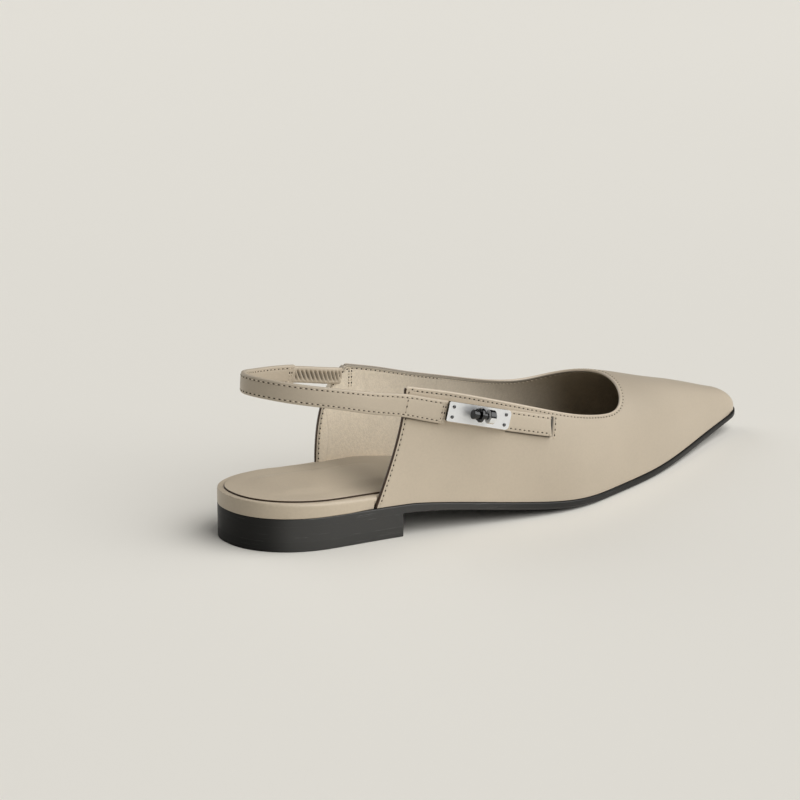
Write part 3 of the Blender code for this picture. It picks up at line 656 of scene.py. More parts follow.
def upper_point(along, turn, side):
    """Point of the upper's outer face: turn 0 is the sole edge, turn 1 the ridge."""
    angle = np.clip(np.asarray(turn, float), 0.0, 1.0) * math.pi / 2.0
    exponent = 2.0 / SECTION_POWER
    breadth = read(SOLE_PLAN, "half_breadth", along) - UPPER_INSET
    breadth = breadth * round_end(LENGTH - UPPER_INSET - along, TOE_ROUND, TOE_POWER)
    across = read(SOLE_PLAN, "centre", along) + side * breadth * np.maximum(np.cos(angle), 0.0) ** exponent
    rise = (upper_ridge(along) - upper_base(along)) * np.sin(angle) ** exponent
    return np.stack(np.broadcast_arrays(along, across, upper_base(along) + rise), -1)


def turn_at(along, height):
    """Turn of the point of a section that lies at a height."""
    share = (height - upper_base(along)) / (upper_ridge(along) - upper_base(along))
    return np.arcsin(np.clip(share, 0.0, 1.0) ** (SECTION_POWER / 2.0)) * 2.0 / math.pi


def topline_turn(along, side, drop):
    """Turn at which a section is cut, with the topline lowered by a drop and closed over the throat."""
    name = "lateral" if side == LATERAL else "medial"
    cut = turn_at(along, read(TOPLINE, name, np.minimum(along, TOPLINE[-1].along)) - drop)
    share = np.clip((along - THROAT_START) / (THROAT_APEX - THROAT_START), 0.0, 1.0)
    return cut + (1.0 - cut) * bent(share, THROAT[side])


def on_wall(along, height, side, outward):
    """Point off the upper's wall at a height, with the direction up the wall and the outward normal."""
    along, height = np.asarray(along, float), np.asarray(height, float)
    step = WALL_PROBE
    here = upper_point(along, turn_at(along, height), side)
    above = upper_point(along, turn_at(along, height + step), side)
    below = upper_point(along, turn_at(along, height - step), side)
    ahead = upper_point(along + step, turn_at(along + step, height), side)
    behind = upper_point(along - step, turn_at(along - step, height), side)
    up = unit(above - below)
    normal = unit(side * np.cross(up, ahead - behind))
    return here + np.asarray(outward)[..., None] * normal, up, normal


def mesh_of(edit, *materials):
    """Closes a mesh edit, shaded smooth up to its sharp edges, with its materials."""
    mesh = bpy.data.meshes.new("work")
    edit.to_mesh(mesh)
    edit.free()
    mesh.shade_smooth()
    mesh.set_sharp_from_angle(angle=math.radians(SHARP_EDGE))
    for material in materials:
        mesh.materials.append(material)
    return mesh


def weld(edit):
    """Joins points that coincide and drops the faces that this empties."""
    bmesh.ops.remove_doubles(edit, verts=edit.verts, dist=WELD * MM)
    bmesh.ops.dissolve_degenerate(edit, edges=edit.edges, dist=WELD * MM)


def linked(name, data):
    """A new object in the scene."""
    item = bpy.data.objects.new(name, data)
    bpy.context.scene.collection.objects.link(item)
    return item


def mark_points(mesh, name, values):
    """Stores numbers or directions on a mesh's points."""
    values = np.asarray(values, np.float32)
    vector = values.ndim > 1
    layer = mesh.attributes.new(name, "FLOAT_VECTOR" if vector else "FLOAT", "POINT")
    layer.data.foreach_set("vector" if vector else "value", values.ravel())


def tube(rings):
    """Solid through rings of points, closed at both ends."""
    edit = bmesh.new()
    loops = [[edit.verts.new(point) for point in to_frame(ring)] for ring in rings]
    for low, high in zip(loops, loops[1:]):
        for i in range(len(low)):
            j = (i + 1) % len(low)
            edit.faces.new((low[i], low[j], high[j], high[i]))
    edit.faces.new(loops[0][::-1])
    edit.faces.new(loops[-1])
    bmesh.ops.recalc_face_normals(edit, faces=edit.faces)
    return edit


def bevelled(mesh, width, angle):
    """The mesh with its edges broken from an angle on."""
    item = linked("work", mesh)
    modifier = item.modifiers.new("edges", "BEVEL")
    modifier.width = width
    modifier.segments = 3
    modifier.limit_method = "ANGLE"
    modifier.angle_limit = angle
    return plain_mesh(item)


def plain_mesh(item):
    """An object's evaluated shape as a plain mesh; the object and its modifiers go."""
    evaluated = item.evaluated_get(bpy.context.evaluated_depsgraph_get())
    made = bpy.data.meshes.new_from_object(evaluated)
    old = item.data
    bpy.data.objects.remove(item)
    if old is not None and old.users == 0:
        bpy.data.meshes.remove(old)
    return made


def grown(mesh, tree, **inputs):
    """The mesh after a geometry tree, with its inputs set by their socket identifiers."""
    item = linked("work", mesh)
    modifier = item.modifiers.new("tree", "NODES")
    modifier.node_group = tree
    for socket in tree.interface.items_tree:
        if socket.in_out == "INPUT" and socket.name in inputs:
            modifier[socket.identifier] = inputs[socket.name]
    return plain_mesh(item)


def add_piece(name, mesh, body, slot, *nodes):
    """Puts a finished mesh on its body, in the place of its solids if it has any."""
    mesh.name = name
    item = linked(name, mesh)
    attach(item, body)
    if nodes:
        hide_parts(*nodes)


def geometry_tree(name, sockets):
    """A geometry tree with a mesh input, named inputs and a mesh output, and its inputs as wires."""
    tree = bpy.data.node_groups.new(name, "GeometryNodeTree")
    tree.interface.new_socket("Geometry", in_out="INPUT", socket_type="NodeSocketGeometry")
    for label, kind in sockets.items():
        tree.interface.new_socket(label, in_out="INPUT", socket_type=kind)
    tree.interface.new_socket("Geometry", in_out="OUTPUT", socket_type="NodeSocketGeometry")
    graph = Graph(tree)
    entry = tree.nodes.new("NodeGroupInput")
    return graph, {socket.name: Wire(graph, socket) for socket in entry.outputs if socket.name}


def end_tree(graph, geometry):
    """The tree with its output plugged in."""
    end = graph.tree.nodes.new("NodeGroupOutput")
    graph.plug(end.inputs["Geometry"], geometry)
    return graph.tree


def drawn(finish, line):
    """Mask of a straight line on one wall, 1 on the line and 0 away from it."""
    point = to_frame(line.point)
    beside = finish.along(point, line.across)
    beyond = finish.along(point, line.run).size()
    deep = finish.along(point, np.cross(line.run, line.across)).size()
    ends = 1.0 - beyond.step(line.half, line.half + LINE_FADE)
    return beside.ridge(0.0, line.width) * ends * (deep < WALL_REACH)


def calf_finish(name, base, light_stops, seam_inset=None, lines=(), folded=False):
    """Smooth satin calf: faint pores, a stitch-row dip, and painted light, shade and shadow lines."""
    finish = Finish(name, roughness=0.5, coat_roughness=0.35, coat_weight=0.05, specular_ior_level=0.42)
    tone = finish.noise(0.035, 3.0)
    fine = finish.noise(1.1, 3.0)
    pores = finish.cells(1.7)
    cloud = (tone * 0.6 + fine * 0.4).step(0.3, 0.7)
    surface = finish.dimmed(finish.lit_and_shaded(base, light_stops), cloud * 0.08 + 0.955)
    height = pores.step(0.0, 0.12) * 0.006 + fine * 0.012 + finish.noise(0.12, 2.0) * 0.05
    if folded:
        # Painted shade: the grooves between the gathers are painted dark.
        surface = finish.mixed(finish.attribute("fold") * 0.9, surface, shade(base, 0.13))
    if seam_inset is not None:
        edge = finish.attribute("edge_mm").smallest(finish.attribute("back_mm"))
        groove = edge.ridge(seam_inset, 0.55)
        # Painted shade: the dip along the stitch row is also painted a little darker.
        surface = finish.mixed(groove * 0.16, surface, shade(base, 0.7))
        height = height - groove * 0.1
    # Painted shade: dark lines for the shadows under strap and tab, and for the tab's slit
    for line in lines:
        mark = drawn(finish, line)
        surface = finish.mixed(mark * line.depth, surface, shade(base, 0.06))
        height = height - mark * 0.2
    rough = fine * 0.1 + tone * 0.06 + 0.38
    return finish.plug_in(surface, rough, height)


def lining_finish(base, seam_inset):
    """Paler inner leather with an open fine grain, a few drawn wrinkles, and painted light and shade."""
    finish = Finish("lining_leather", roughness=0.6, specular_ior_level=0.35)
    grain = finish.cells(1.15)
    fine = finish.noise(0.9, 4.0)
    tone = finish.noise(0.03, 2.0)
    edge = finish.attribute("edge_mm").smallest(finish.attribute("back_mm"))
    groove = edge.ridge(seam_inset, 0.55)
    wrinkle = finish.noise(0.05, 1.0, finish.scaled(1.0, 1.0, 0.35)).ridge(0.5, 0.012)
    surface = finish.dimmed(finish.lit_and_shaded(base, LINING_PAINTED_LIGHT), fine.step(0.3, 0.7) * 0.1 + 0.95)
    # Painted shade in the wrinkles and the stitch dip; besides, a line 1 mm below the edge is darker.
    surface = finish.dimmed(surface, 1.0 - wrinkle * 0.04 - groove * 0.08 - edge.ridge(1.0, 0.25) * 0.5)
    height = grain.step(0.0, 0.2) * 0.03 + fine * 0.05 - wrinkle * 0.05 - groove * 0.08
    return finish.plug_in(surface, tone * 0.1 + fine * 0.1 + 0.5, height)


def rim_finish(name, calf, paint):
    """Folded calf along the topline, painted lighter as a highlight, and brown paint on the cut back edges.
    """
    finish = Finish(name, specular_ior_level=0.5, coat_weight=0.2, coat_roughness=0.25)
    cut = finish.attribute("back_mm") - 0.9 < finish.attribute("edge_mm")
    fine = finish.noise(0.8, 3.0)
    # Painted highlight: the calf of the edge is painted 8 to 20 per cent lighter.
    surface = finish.mixed(cut, finish.mixed(fine, shade(calf, 1.08), shade(calf, 1.2)), paint)
    return finish.plug_in(surface, cut * -0.05 + 0.42, fine * 0.03)


def footbed_finish(name, base, light_stops):
    """Satin leather of the footbed, a little glossier than the upper, with painted light and shade."""
    finish = Finish(name, roughness=0.45, coat_weight=0.08, coat_roughness=0.3, specular_ior_level=0.45)
    tone = finish.noise(0.04, 3.0)
    fine = finish.noise(1.0, 3.0)
    cloud = (tone * 0.5 + fine * 0.5).step(0.3, 0.7)
    surface = finish.dimmed(finish.lit_and_shaded(base, light_stops), cloud * 0.08 + 0.955)
    height = finish.cells(1.5).step(0.0, 0.15) * 0.006 + fine * 0.014
    return finish.plug_in(surface, tone * 0.1 + fine * 0.08 + 0.36, height)


def black_finish(name, base, rough):
    """Burnished black edge with faint lines that run round the sole, and a few scratches."""
    finish = Finish(name, specular_ior_level=0.13, coat_roughness=0.3)
    lines = finish.noise(0.02, 3.0, finish.scaled(1.0, 1.0, 60.0))
    scratch = finish.noise(0.06, 2.0, finish.scaled(0.7, 0.7, 45.0)).ridge(0.69, 0.012)
    fine = finish.noise(0.7, 3.0)
    # Painted light and shade: darker at the heel's back and the forepart, lighter along the heel's sides.
    surface = finish.dimmed(finish.lit_and_shaded(base, BLACK_PAINTED_LIGHT), scratch * 3.2 + lines * 0.1 + 0.95)
    height = lines * 0.004 + fine * 0.01 + scratch * 0.01
    run = finish.along_shoe()
    gloss = run.step(*GLOSS_RISE) * (1.0 - run.step(*GLOSS_FALL) * GLOSS_LOST) * BLACK_GLOSS
    return finish.plug_in(surface, fine * 0.1 + lines * 0.02 + rough, height, gloss)


def metal_finish(name, base, rough, metallic=1.0):
    """Polished white metal with hair-fine rubbing marks."""
    finish = Finish(name, metallic=metallic)
    marks = finish.noise(0.4, 3.0, finish.scaled(0.15, 1.0, 1.0))
    surface = finish.mixed(marks, shade(base, 0.97), shade(base, 1.02))
    return finish.plug_in(surface, marks * 0.05 + rough, marks * 0.0015)


def thread_finish(base):
    """Matt sewing thread with its strands."""
    finish = Finish("sewing_thread", specular_ior_level=0.3)
    strands = finish.noise(3.0, 2.0)
    surface = finish.mixed(strands, shade(base, 0.85), shade(base, 1.1))
    return finish.plug_in(surface, strands * 0.1 + 0.6, strands * 0.02)


def hole_finish(base):
    """Shade and frayed leather in the needle holes."""
    finish = Finish("needle_holes", specular_ior_level=0.1)
    fray = finish.noise(2.0, 2.0)
    return finish.plug_in(finish.mixed(fray, base, shade(base, 1.6)), fray * 0.1 + 0.85, fray * 0.02)


def floor_finish(base):
    """Pale studio floor, painted lighter to one side as light."""
    finish = Finish("studio_floor", specular_ior_level=0.2)
    cloud = finish.noise(0.001, 2.0)
    far = finish.along((0.0, 0.0, 0.0), FLOOR_LIGHT_RUN)
    surface = finish.dimmed(base, cloud * 0.02 + far.step(*FLOOR_LIGHT_FADE) * 0.12 + 0.92)
    return finish.plug_in(surface, cloud * 0.1 + 0.6)


def shared(name, make, *values):
    """A material that is made once."""
    return bpy.data.materials.get(name) or make(name, *values)


def distance_to(points, line):
    """Distance of each point from a line of points."""
    start, step = line[:-1], np.diff(line, axis=0)
    reach = np.maximum(np.sum(step**2, axis=1), 1e-12)
    nearest = np.full(len(points), np.inf)
    for first, run, square in zip(start, step, reach):
        offset = points - first
        share = np.clip(offset @ run / square, 0.0, 1.0)
        nearest = np.minimum(nearest, np.linalg.norm(offset - share[:, None] * run, axis=1))
    return nearest


def upper_side(side, corner, margin):
    """Points of one side of the upper, a margin inside its edges, on rays from topline to sole or toe."""
    back = QUARTER_BACK[side]
    foot = back.foot + margin
    top_back = foot + back.reach
    span = THROAT_APEX - top_back
    first = np.array(CORNER_STEPS)
    angles = np.linspace(math.asin(first[-1] / span), math.pi / 2.0, TOPLINE_STEPS)
    share = np.concatenate([first / span, np.sin(angles[1:])])
    run = share * span
    drop = corner - np.sqrt(corner**2 - np.maximum(corner - run, 0.0) ** 2)
    top_along = top_back + run
    top_turn = topline_turn(top_along, side, drop)
    ray = np.arcsin(np.minimum(share, 1.0)) / (math.pi / 2.0)
    reach = np.minimum(ray / TOE_RAYS, 1.0)
    front = LENGTH - UPPER_INSET - TOE_FLAT
    end_along = foot + (front - foot) * ((1.0 - RAY_LEAD) * reach + RAY_LEAD * reach**RAY_POWER)
    end_turn = np.clip((ray - TOE_RAYS) / (1.0 - TOE_RAYS), 0.0, 1.0)
    chord = upper_point(top_along, top_turn, side) - upper_point(end_along, end_turn, side)
    start = (margin / np.linalg.norm(chord, axis=1))[:, None]
    down = np.linspace(0.0, 1.0, WALL_STEPS + 1)
    down = (1.0 - ROW_CLOSE) * down + ROW_CLOSE * (1.0 - np.cos(math.pi * down)) / 2.0
    toe_close = 1.0 + TOE_CLOSE * ease(reach, TOE_CLOSE_FROM, 1.0)
    down = start + (1.0 - start) * (1.0 - (1.0 - down[None, :]) ** toe_close[:, None])
    lift = 1.0 - down
    fade = (1.0 - np.clip(run / BOW_FADE, 0.0, 1.0)) ** 2
    bow = back.reach * (bent(lift, back.bend) - lift) * fade[:, None]
    along = top_along[:, None] + (end_along - top_along)[:, None] * down + bow
    turn = top_turn[:, None] + (end_turn - top_turn)[:, None] * down
    toe_ray = int(np.argmax(ray >= TOE_RAYS))
    return upper_point(np.minimum(along, front), turn, side), toe_ray


def side_normals(grid, side):
    """Outward directions of a side's points."""
    normals = np.cross(np.gradient(grid, axis=0), -np.gradient(grid, axis=1))
    return unit(-side * normals)


def crossing(values, level):
    """Place, as a fractional index, where rising values first pass a level, or None."""
    above = np.nonzero(values >= level)[0]
    if len(above) == 0 or above[0] == 0:
        return None
    after = above[0]
    return after - 1 + (level - values[after - 1]) / (values[after] - values[after - 1])


def between(array, place):
    """An array's row at a fractional index."""
    low = int(place)
    share = place - low
    return array[low] * (1.0 - share) + array[min(low + 1, len(array) - 1)] * share


def side_seam(grid, normals, edge, back, inset):
    """Stitch row of one side: up the back edge, round the corner and along the topline to the throat."""
    points, outs = [], []
    for j in range(grid.shape[1] - 2, 0, -1):
        place = crossing(back[:, j], inset)
        if place is not None and between(edge[:, j], place) > inset:
            points.append(between(grid[:, j], place))
            outs.append(between(normals[:, j], place))
    for i in range(grid.shape[0]):
        place = crossing(edge[i], inset)
        if place is not None and between(back[i], place) > inset:
            points.append(between(grid[i], place))
            outs.append(between(normals[i], place))
    return np.array(points), np.array(outs)


def softened(line, passes):
    """A row of points with its corners eased."""
    for _ in range(passes):
        line[1:-1] = (line[:-2] + 2.0 * line[1:-1] + line[2:]) / 4.0
    return line


class StitchRows:
    """Stitch rows collected from the pieces, as points and outward directions in millimetres."""

    rows = []

    @classmethod
    def add(cls, points, outs, holed=None):
        holed = np.ones(len(points)) if holed is None else holed
        cls.rows.append((np.asarray(points, float), unit(np.asarray(outs, float)), holed))


def wall_line(along, start, slope):
    """Place of a strap's middle line on the lateral wall, with the directions along and across it."""
    point, _, normal = on_wall(along, start[1] + slope * (along - start[0]), LATERAL, 0.0)
    run = np.array([1.0, 0.0, slope])
    run = unit(run - normal * np.dot(run, normal))
    return point, run, unit(np.cross(normal, run))


def painted_shade_lines():
    """Painted shade lines: the tab's slit, and the shadows under the lower edges of strap and tab."""
    point, run, across = wall_line(TAB_FRONT, TAB_LINE, TAB_SLOPE)
    # The slit's opening is painted as a dark line, for the shade in it.
    slit = point + run * SLIT_AHEAD - across * SLIT_DROP
    lines = [DrawnLine(slit, across, run, TAB_WIDE / 2.0 - SLIT_SHORT, SLIT_WIDTH, 1.0)]
    plate_end = PLATE_CENTRE + PLATE_LONG / 2.0
    quarter_end = QUARTER_BACK[LATERAL].foot + QUARTER_BACK[LATERAL].reach
    for start, slope, back, front, wide in (
        (STRAP_FRONT, STRAP_SLOPE, quarter_end, STRAP_FRONT[0], STRAP_WIDE_FRONT),
        (TAB_LINE, TAB_SLOPE, plate_end, TAB_FRONT, TAB_WIDE),
    ):
        point, run, across = wall_line((back + front) / 2.0, start, slope)
        below = point - across * (wide / 2.0 + SHADOW_BELOW)
        lines.append(DrawnLine(below, run, across, (front - back) / 2.0, SHADOW_WIDTH, SHADOW_DARKNESS))
    return lines


def edge_loop(parts):
    """Both sides' values along the upper's edge: lateral back edge, topline, medial back edge."""
    lateral, medial = parts[LATERAL], parts[MEDIAL]
    return np.concatenate([lateral[0, ::-1], lateral[1:, 0], medial[-2::-1, 0], medial[0, 1:]])


def upper_shell(grids, normals, toe_ray, margin, marks):
    """Closed wall of the upper: both faces, a rounded edge, and strips along the sole and the toe's tip."""
    edit = bmesh.new()
    layers = {name: edit.verts.layers.float.new(name) for name in marks}

    def add(points, values):
        made = []
        for point, *own in zip(to_frame(points), *values):
            vert = edit.verts.new(point)
            for layer, value in zip(layers.values(), own):
                vert[layer] = value
            made.append(vert)
        return made

    faces = {}
    thin_from, thin_to = (LENGTH - before for before in TOE_THIN_SPAN)
    for side in SIDES:
        grid, out = grids[side], normals[side]
        wall = UPPER_WALL - TOE_THIN * ease(grid[..., 0], thin_from, thin_to)
        values = [mark[side] for mark in marks.values()]
        for name, points in (("outer", grid), ("inner", grid - wall[..., None] * out)):
            rays = [add(points[i], [value[i] for value in values]) for i in range(len(points))]
            faces[name, side] = rays
            for i in range(len(rays) - 1):
                for j in range(len(rays[i]) - 1):
                    corners = (rays[i][j + 1], rays[i + 1][j + 1], rays[i + 1][j], rays[i][j])
                    flip = (side == MEDIAL) != (name == "inner")
                    face = edit.faces.new(corners[::-1] if flip else corners)
                    face.material_index = 1 if name == "inner" else 0
        outer, inner = ([ray[-1] for ray in faces[name, side]] for name in ("outer", "inner"))
        for i in range(toe_ray[side]):
            corners = (inner[i], inner[i + 1], outer[i + 1], outer[i])
            edit.faces.new(corners if side == LATERAL else corners[::-1])
    for name in ("outer", "inner"):
        lateral, medial = ([ray[-1] for ray in faces[name, side]] for side in SIDES)
        for i in range(toe_ray[LATERAL], len(lateral) - 1):
            corners = (lateral[i], medial[i], medial[i + 1], lateral[i + 1])
            edit.faces.new(corners if name == "outer" else corners[::-1])
    corners = (("outer", LATERAL), ("inner", LATERAL), ("inner", MEDIAL), ("outer", MEDIAL))
    edit.faces.new([faces[name, side][toe_ray[side]][-1] for name, side in corners])

    line, out = edge_loop(grids), unit(edge_loop(normals))
    beyond = unit(np.cross(out, np.gradient(line, axis=0)))
    values = [edge_loop(mark) for mark in marks.values()]
    vert_loop = {name: loop_of({side: faces[name, side] for side in SIDES}) for name in ("outer", "inner")}
    strips = [vert_loop["outer"]]
    for turn in np.linspace(0.0, math.pi, RIM_STEPS + 1)[1:-1]:
        bulge = margin * math.sin(turn) ** FOLD_POWER
        inward = (UPPER_WALL / 2.0) * (math.cos(turn) - 1.0)
        strips.append(add(line + bulge * beyond + inward * out, values))
    strips.append(vert_loop["inner"])
    for number, (near, far) in enumerate(zip(strips, strips[1:])):
        for m in range(len(near) - 1):
            face = edit.faces.new((near[m], near[m + 1], far[m + 1], far[m]))
            # The rim's inner half along the topline takes the copy painted darker as shade.
            folded = WALL_STEPS <= m < len(near) - 1 - WALL_STEPS
            face.material_index = 3 if folded and number >= RIM_STEPS * FOLD_INNER else 2
    for end in (0, -1):
        cap = [strip[end] for strip in strips]
        edit.faces.new(cap if end == 0 else cap[::-1])
    weld(edit)
    bmesh.ops.recalc_face_normals(edit, faces=edit.faces)
    return edit


def loop_of(rays):
    """Corner points of the upper's edge, in the same order as edge_loop."""
    lateral, medial = rays[LATERAL], rays[MEDIAL]
    topline = [ray[0] for ray in lateral[1:]] + [ray[0] for ray in medial[-2::-1]]
    return lateral[0][::-1] + topline + medial[0][1:]


def make_upper(sizes, colours):
    """The upper's wall: calf outside, lining inside, folded topline and painted back edges."""
    inset, margin = sizes.seam_inset / MM, sizes.edge_round / MM
    sides = {side: upper_side(side, sizes.corner_round / MM, margin) for side in SIDES}
    grids = {side: sides[side][0] for side in SIDES}
    toe_ray = {side: sides[side][1] for side in SIDES}
    normals = {side: side_normals(grids[side], side) for side in SIDES}
    shared_out = unit(normals[LATERAL][-1] + normals[MEDIAL][-1])
    for side in SIDES:
        normals[side][-1] = shared_out
    topline = np.concatenate([grids[LATERAL][:, 0], grids[MEDIAL][::-1, 0]])
    marks = {"edge_mm": {}, "back_mm": {}}
    rows = []
    for side in SIDES:
        grid = grids[side]
        flat = grid.reshape(-1, 3)
        for name, line in (("edge_mm", topline), ("back_mm", grid[0])):
            marks[name][side] = distance_to(flat, line).reshape(grid.shape[:2]) + margin
        edge, back = marks["edge_mm"][side], marks["back_mm"][side]
        row = side_seam(grid, normals[side], edge, back, inset)
        rows.append(row if side == LATERAL else tuple(part[::-1] for part in row))
    points, outs = (softened(np.concatenate(parts), 3) for parts in zip(*rows))
    outs = unit(outs)
    StitchRows.add(points, outs)
    StitchRows.add(points - outs * UPPER_WALL, -outs, points[:, 0] < HIDDEN_HOLES)

    mesh = mesh_of(
        upper_shell(grids, normals, toe_ray, margin, marks),
        calf_finish("upper_calf", colours.calf, UPPER_PAINTED_LIGHT, inset, painted_shade_lines()),
        lining_finish(colours.lining, inset),
        rim_finish("upper_edges", colours.calf, colours.edge_paint),
        rim_finish("upper_inner_edges", shade(colours.calf, FOLD_SHADE), colours.edge_paint),
    )
    add_piece("calf_upper", mesh, SHOE, "calf_beige", "upper")


def level(along, height, inset=0.0, back=0.0, front=LENGTH, rise=None):
    """One closed line of a slab, as rows of points for both sides; inset and rise may differ by side."""
    rows = {}
    for side in SIDES:
        at = along[side] if isinstance(along, dict) else along
        moved = inset(at, side) if callable(inset) else inset
        lifted = rise(at, side) if rise else 0.0
        across = sole_edge(at, side, moved, back, front)
        rows[side] = np.stack(np.broadcast_arrays(at, across, height(at) + lifted), -1)
    return rows


def slab(levels, columns=1, swell=None, painted=0):
    """Solid between stacked closed lines; its roof may swell by a height over along and share of breadth.

    The lowest painted strips of its side take the second material.
    """
    edit = bmesh.new()
    rings = []
    for rows in levels:
        placed = {side: [edit.verts.new(point) for point in to_frame(rows[side])] for side in SIDES}
        rings.append((placed[LATERAL], placed[MEDIAL]))
    loops = [lateral + medial[::-1] for lateral, medial in rings]
    for number, (low, high) in enumerate(zip(loops, loops[1:])):
        for i in range(len(low)):
            j = (i + 1) % len(low)
            face = edit.faces.new((low[i], low[j], high[j], high[i]))
            face.material_index = int(number < painted)
    for rows, (lateral, medial), roof in ((levels[0], rings[0], False), (levels[-1], rings[-1], True)):
        strips = [lateral]
        for column in range(1, columns):
            share = column / columns
            line = rows[LATERAL] * (1.0 - share) + rows[MEDIAL] * share
            if roof and swell is not None:
                line[:, 2] += swell(line[:, 0], 2.0 * share - 1.0)
            strips.append([edit.verts.new(point) for point in to_frame(line)])
        strips.append(medial)
        for near, far in zip(strips, strips[1:]):
            for i in range(len(near) - 1):
                corners = (near[i], near[i + 1], far[i + 1], far[i])
                edit.faces.new(corners if roof else corners[::-1])
    weld(edit)
    return edit


def broken(start, size, steps):
    """Inset and drop of the lines of a rounded top edge."""
    turns = np.radians(np.linspace(start, 90.0, steps))
    return [(size * (1.0 - math.cos(turn)), size * (1.0 - math.sin(turn))) for turn in turns]


def make_sole(colours):
    """The outsole with its bevelled edge, and the heel's block and wear layer."""
    black = black_finish("burnished_edge", colours.sole, 0.33)
    along = spread(0.0, LENGTH, 150)
    open_edge = ease(along, BREAST, BREAST + BREAST_FADE)
    bevel = EDGE_BEVEL * open_edge + TOE_FEATHER * ease(along, *FEATHER_SPAN)
    tip = EDGE_BEVEL + TOE_FEATHER

    def cut_back(by, rise, inset):
        front = LENGTH - by
        return level(along * front / LENGTH, lambda at: tread(at) + rise, inset, front=front)

    levels = [
        cut_back(tip + TREAD_IN, 0.0, bevel + TREAD_IN * open_edge),
        cut_back(tip, TREAD_UP, bevel),
        level(along, lambda at: tread(at) + bevel * SIDE_SHARE + SIDE_UP[0], SIDE_IN * open_edge),
        level(along, lambda at: tread(at) + bevel + SIDE_UP[1]),
    ]
    for inset, drop in broken(0.0, EDGE_BREAK, 4):
        levels.append(level(along, lambda at, d=drop: sole_top(at) - d, inset))
    add_piece("sole_leather", mesh_of(slab(levels), black), SHOE, "edge_black", "outsole")

    rows = {side: half_spread(0.0, BREAST_LINE[side], 70) for side in SIDES}
    block = (
        level(rows, lambda at: np.full(at.shape, TOP_PIECE + LAYER_GAP)),
        level(rows, lambda at: tread(at) - LAYER_GAP),
    )
    add_piece("heel_stack", mesh_of(slab(block), black), SHOE, "edge_black", "heel_block")
    middle_in, middle_up = WEAR_MIDDLE
    layer = (
        level(rows, lambda at: np.zeros(at.shape), WEAR_ROUND),
        level(rows, lambda at: np.full(at.shape, middle_up), middle_in),
        level(rows, lambda at: np.full(at.shape, WEAR_ROUND)),
        level(rows, lambda at: np.full(at.shape, TOP_PIECE)),
    )
    rubber = black_finish("wear_layer_rubber", colours.rubber, 0.4)
    add_piece("heel_wear_layer", mesh_of(slab(layer), rubber), SHOE, "rubber_black", "heel_top_piece")


def pocket_line(along, inset, height):
    """Closed line inside the pocket's wall by an inset, over the board's rows of points."""
    board_front = LENGTH - BOARD_INSET
    back, front = RIM_WIDE + inset, board_front - RIM_WIDE - inset
    moved = back + (front - back) * along / board_front
    return level(moved, height, lambda at, side: pocket_inset(at) + inset, back, front, arch_rise)


def board_rows():
    """Distances along the board, closer together at its ends and where its edges step in."""
    return np.unique(np.concatenate([spread(0.0, LENGTH - BOARD_INSET, 120), np.linspace(*STEP_ROWS)]))


def make_footbed(sizes, colours):
    """The wrapped board with its rounded rim, and the sock in its pocket, padded under the heel."""
    front = LENGTH - BOARD_INSET
    along = board_rows()
    deep = float(board_top(QUARTER_BACK[LATERAL].foot) - sole_top(QUARTER_BACK[LATERAL].foot))

    def line(inset, above, height, rise=arch_rise):
        return level(along, height, lambda at, side: board_inset(at, side, above) + inset, 0.0, front, rise)

    levels = [
        line(BOARD_FOOT, 0.0, lambda at: sole_top(at) + BOARD_LIFT, None),
        line(0.0, BOARD_FOOT, lambda at: sole_top(at) + BOARD_LIFT + BOARD_FOOT, None),
    ]
    for inset, drop in broken(0.0, RIM_ROUND, 8):
        levels.append(line(inset, deep - drop, lambda at, d=drop: board_top(at) - d))
    for turn in np.radians((0.0, 30.0, 60.0, 90.0)):
        inset, drop = POCKET_LIP * (math.sin(turn) - 1.0), POCKET_LIP * (1.0 - math.cos(turn))
        levels.append(pocket_line(along, inset, lambda at, d=drop: board_top(at) - d))
    levels.append(pocket_line(along, 0.0, lambda at: board_top(at) - POCKET))
    wrap = footbed_finish("footbed_calf", colours.footbed, RIM_PAINTED_LIGHT)
    add_piece("wrapped_footbed", mesh_of(slab(levels), wrap), SHOE, "calf_footbed", "footbed")

    padding = sizes.heel_pad / MM

    def swell(at, share):
        ends = 1.0 - np.abs(at - PAD_MIDDLE) / PAD_LONG
        sides = 1.0 - np.abs(share) / PAD_EDGE
        return padding * ease(ends, 0.0, PAD_SLOPE[0]) * ease(sides, 0.0, PAD_SLOPE[1])

    levels = [pocket_line(along, GROOVE, lambda at: board_top(at) - POCKET + BOARD_LIFT)]
    for inset, drop in broken(0.0, SOCK_ROUND, 5):
        levels.append(pocket_line(along, GROOVE + inset, lambda at, d=drop: board_top(at) + SOCK_PROUD - d))
    sock = footbed_finish("sock_calf", colours.footbed, SOCK_PAINTED_SHADE)
    mesh = mesh_of(slab(levels, SOCK_COLUMNS, swell, 2), sock, edge_shade(colours.edge_paint))
    add_piece("insole", mesh, SHOE, "calf_footbed", "insole_sock")


def edge_shade(base):
    """Dark brown paint on the sock's cut edge."""
    finish = Finish("sock_edge_paint", specular_ior_level=0.3)
    fine = finish.noise(1.0, 2.0)
    return finish.plug_in(finish.mixed(fine, shade(base, 0.6), base), fine * 0.1 + 0.5, fine * 0.02)


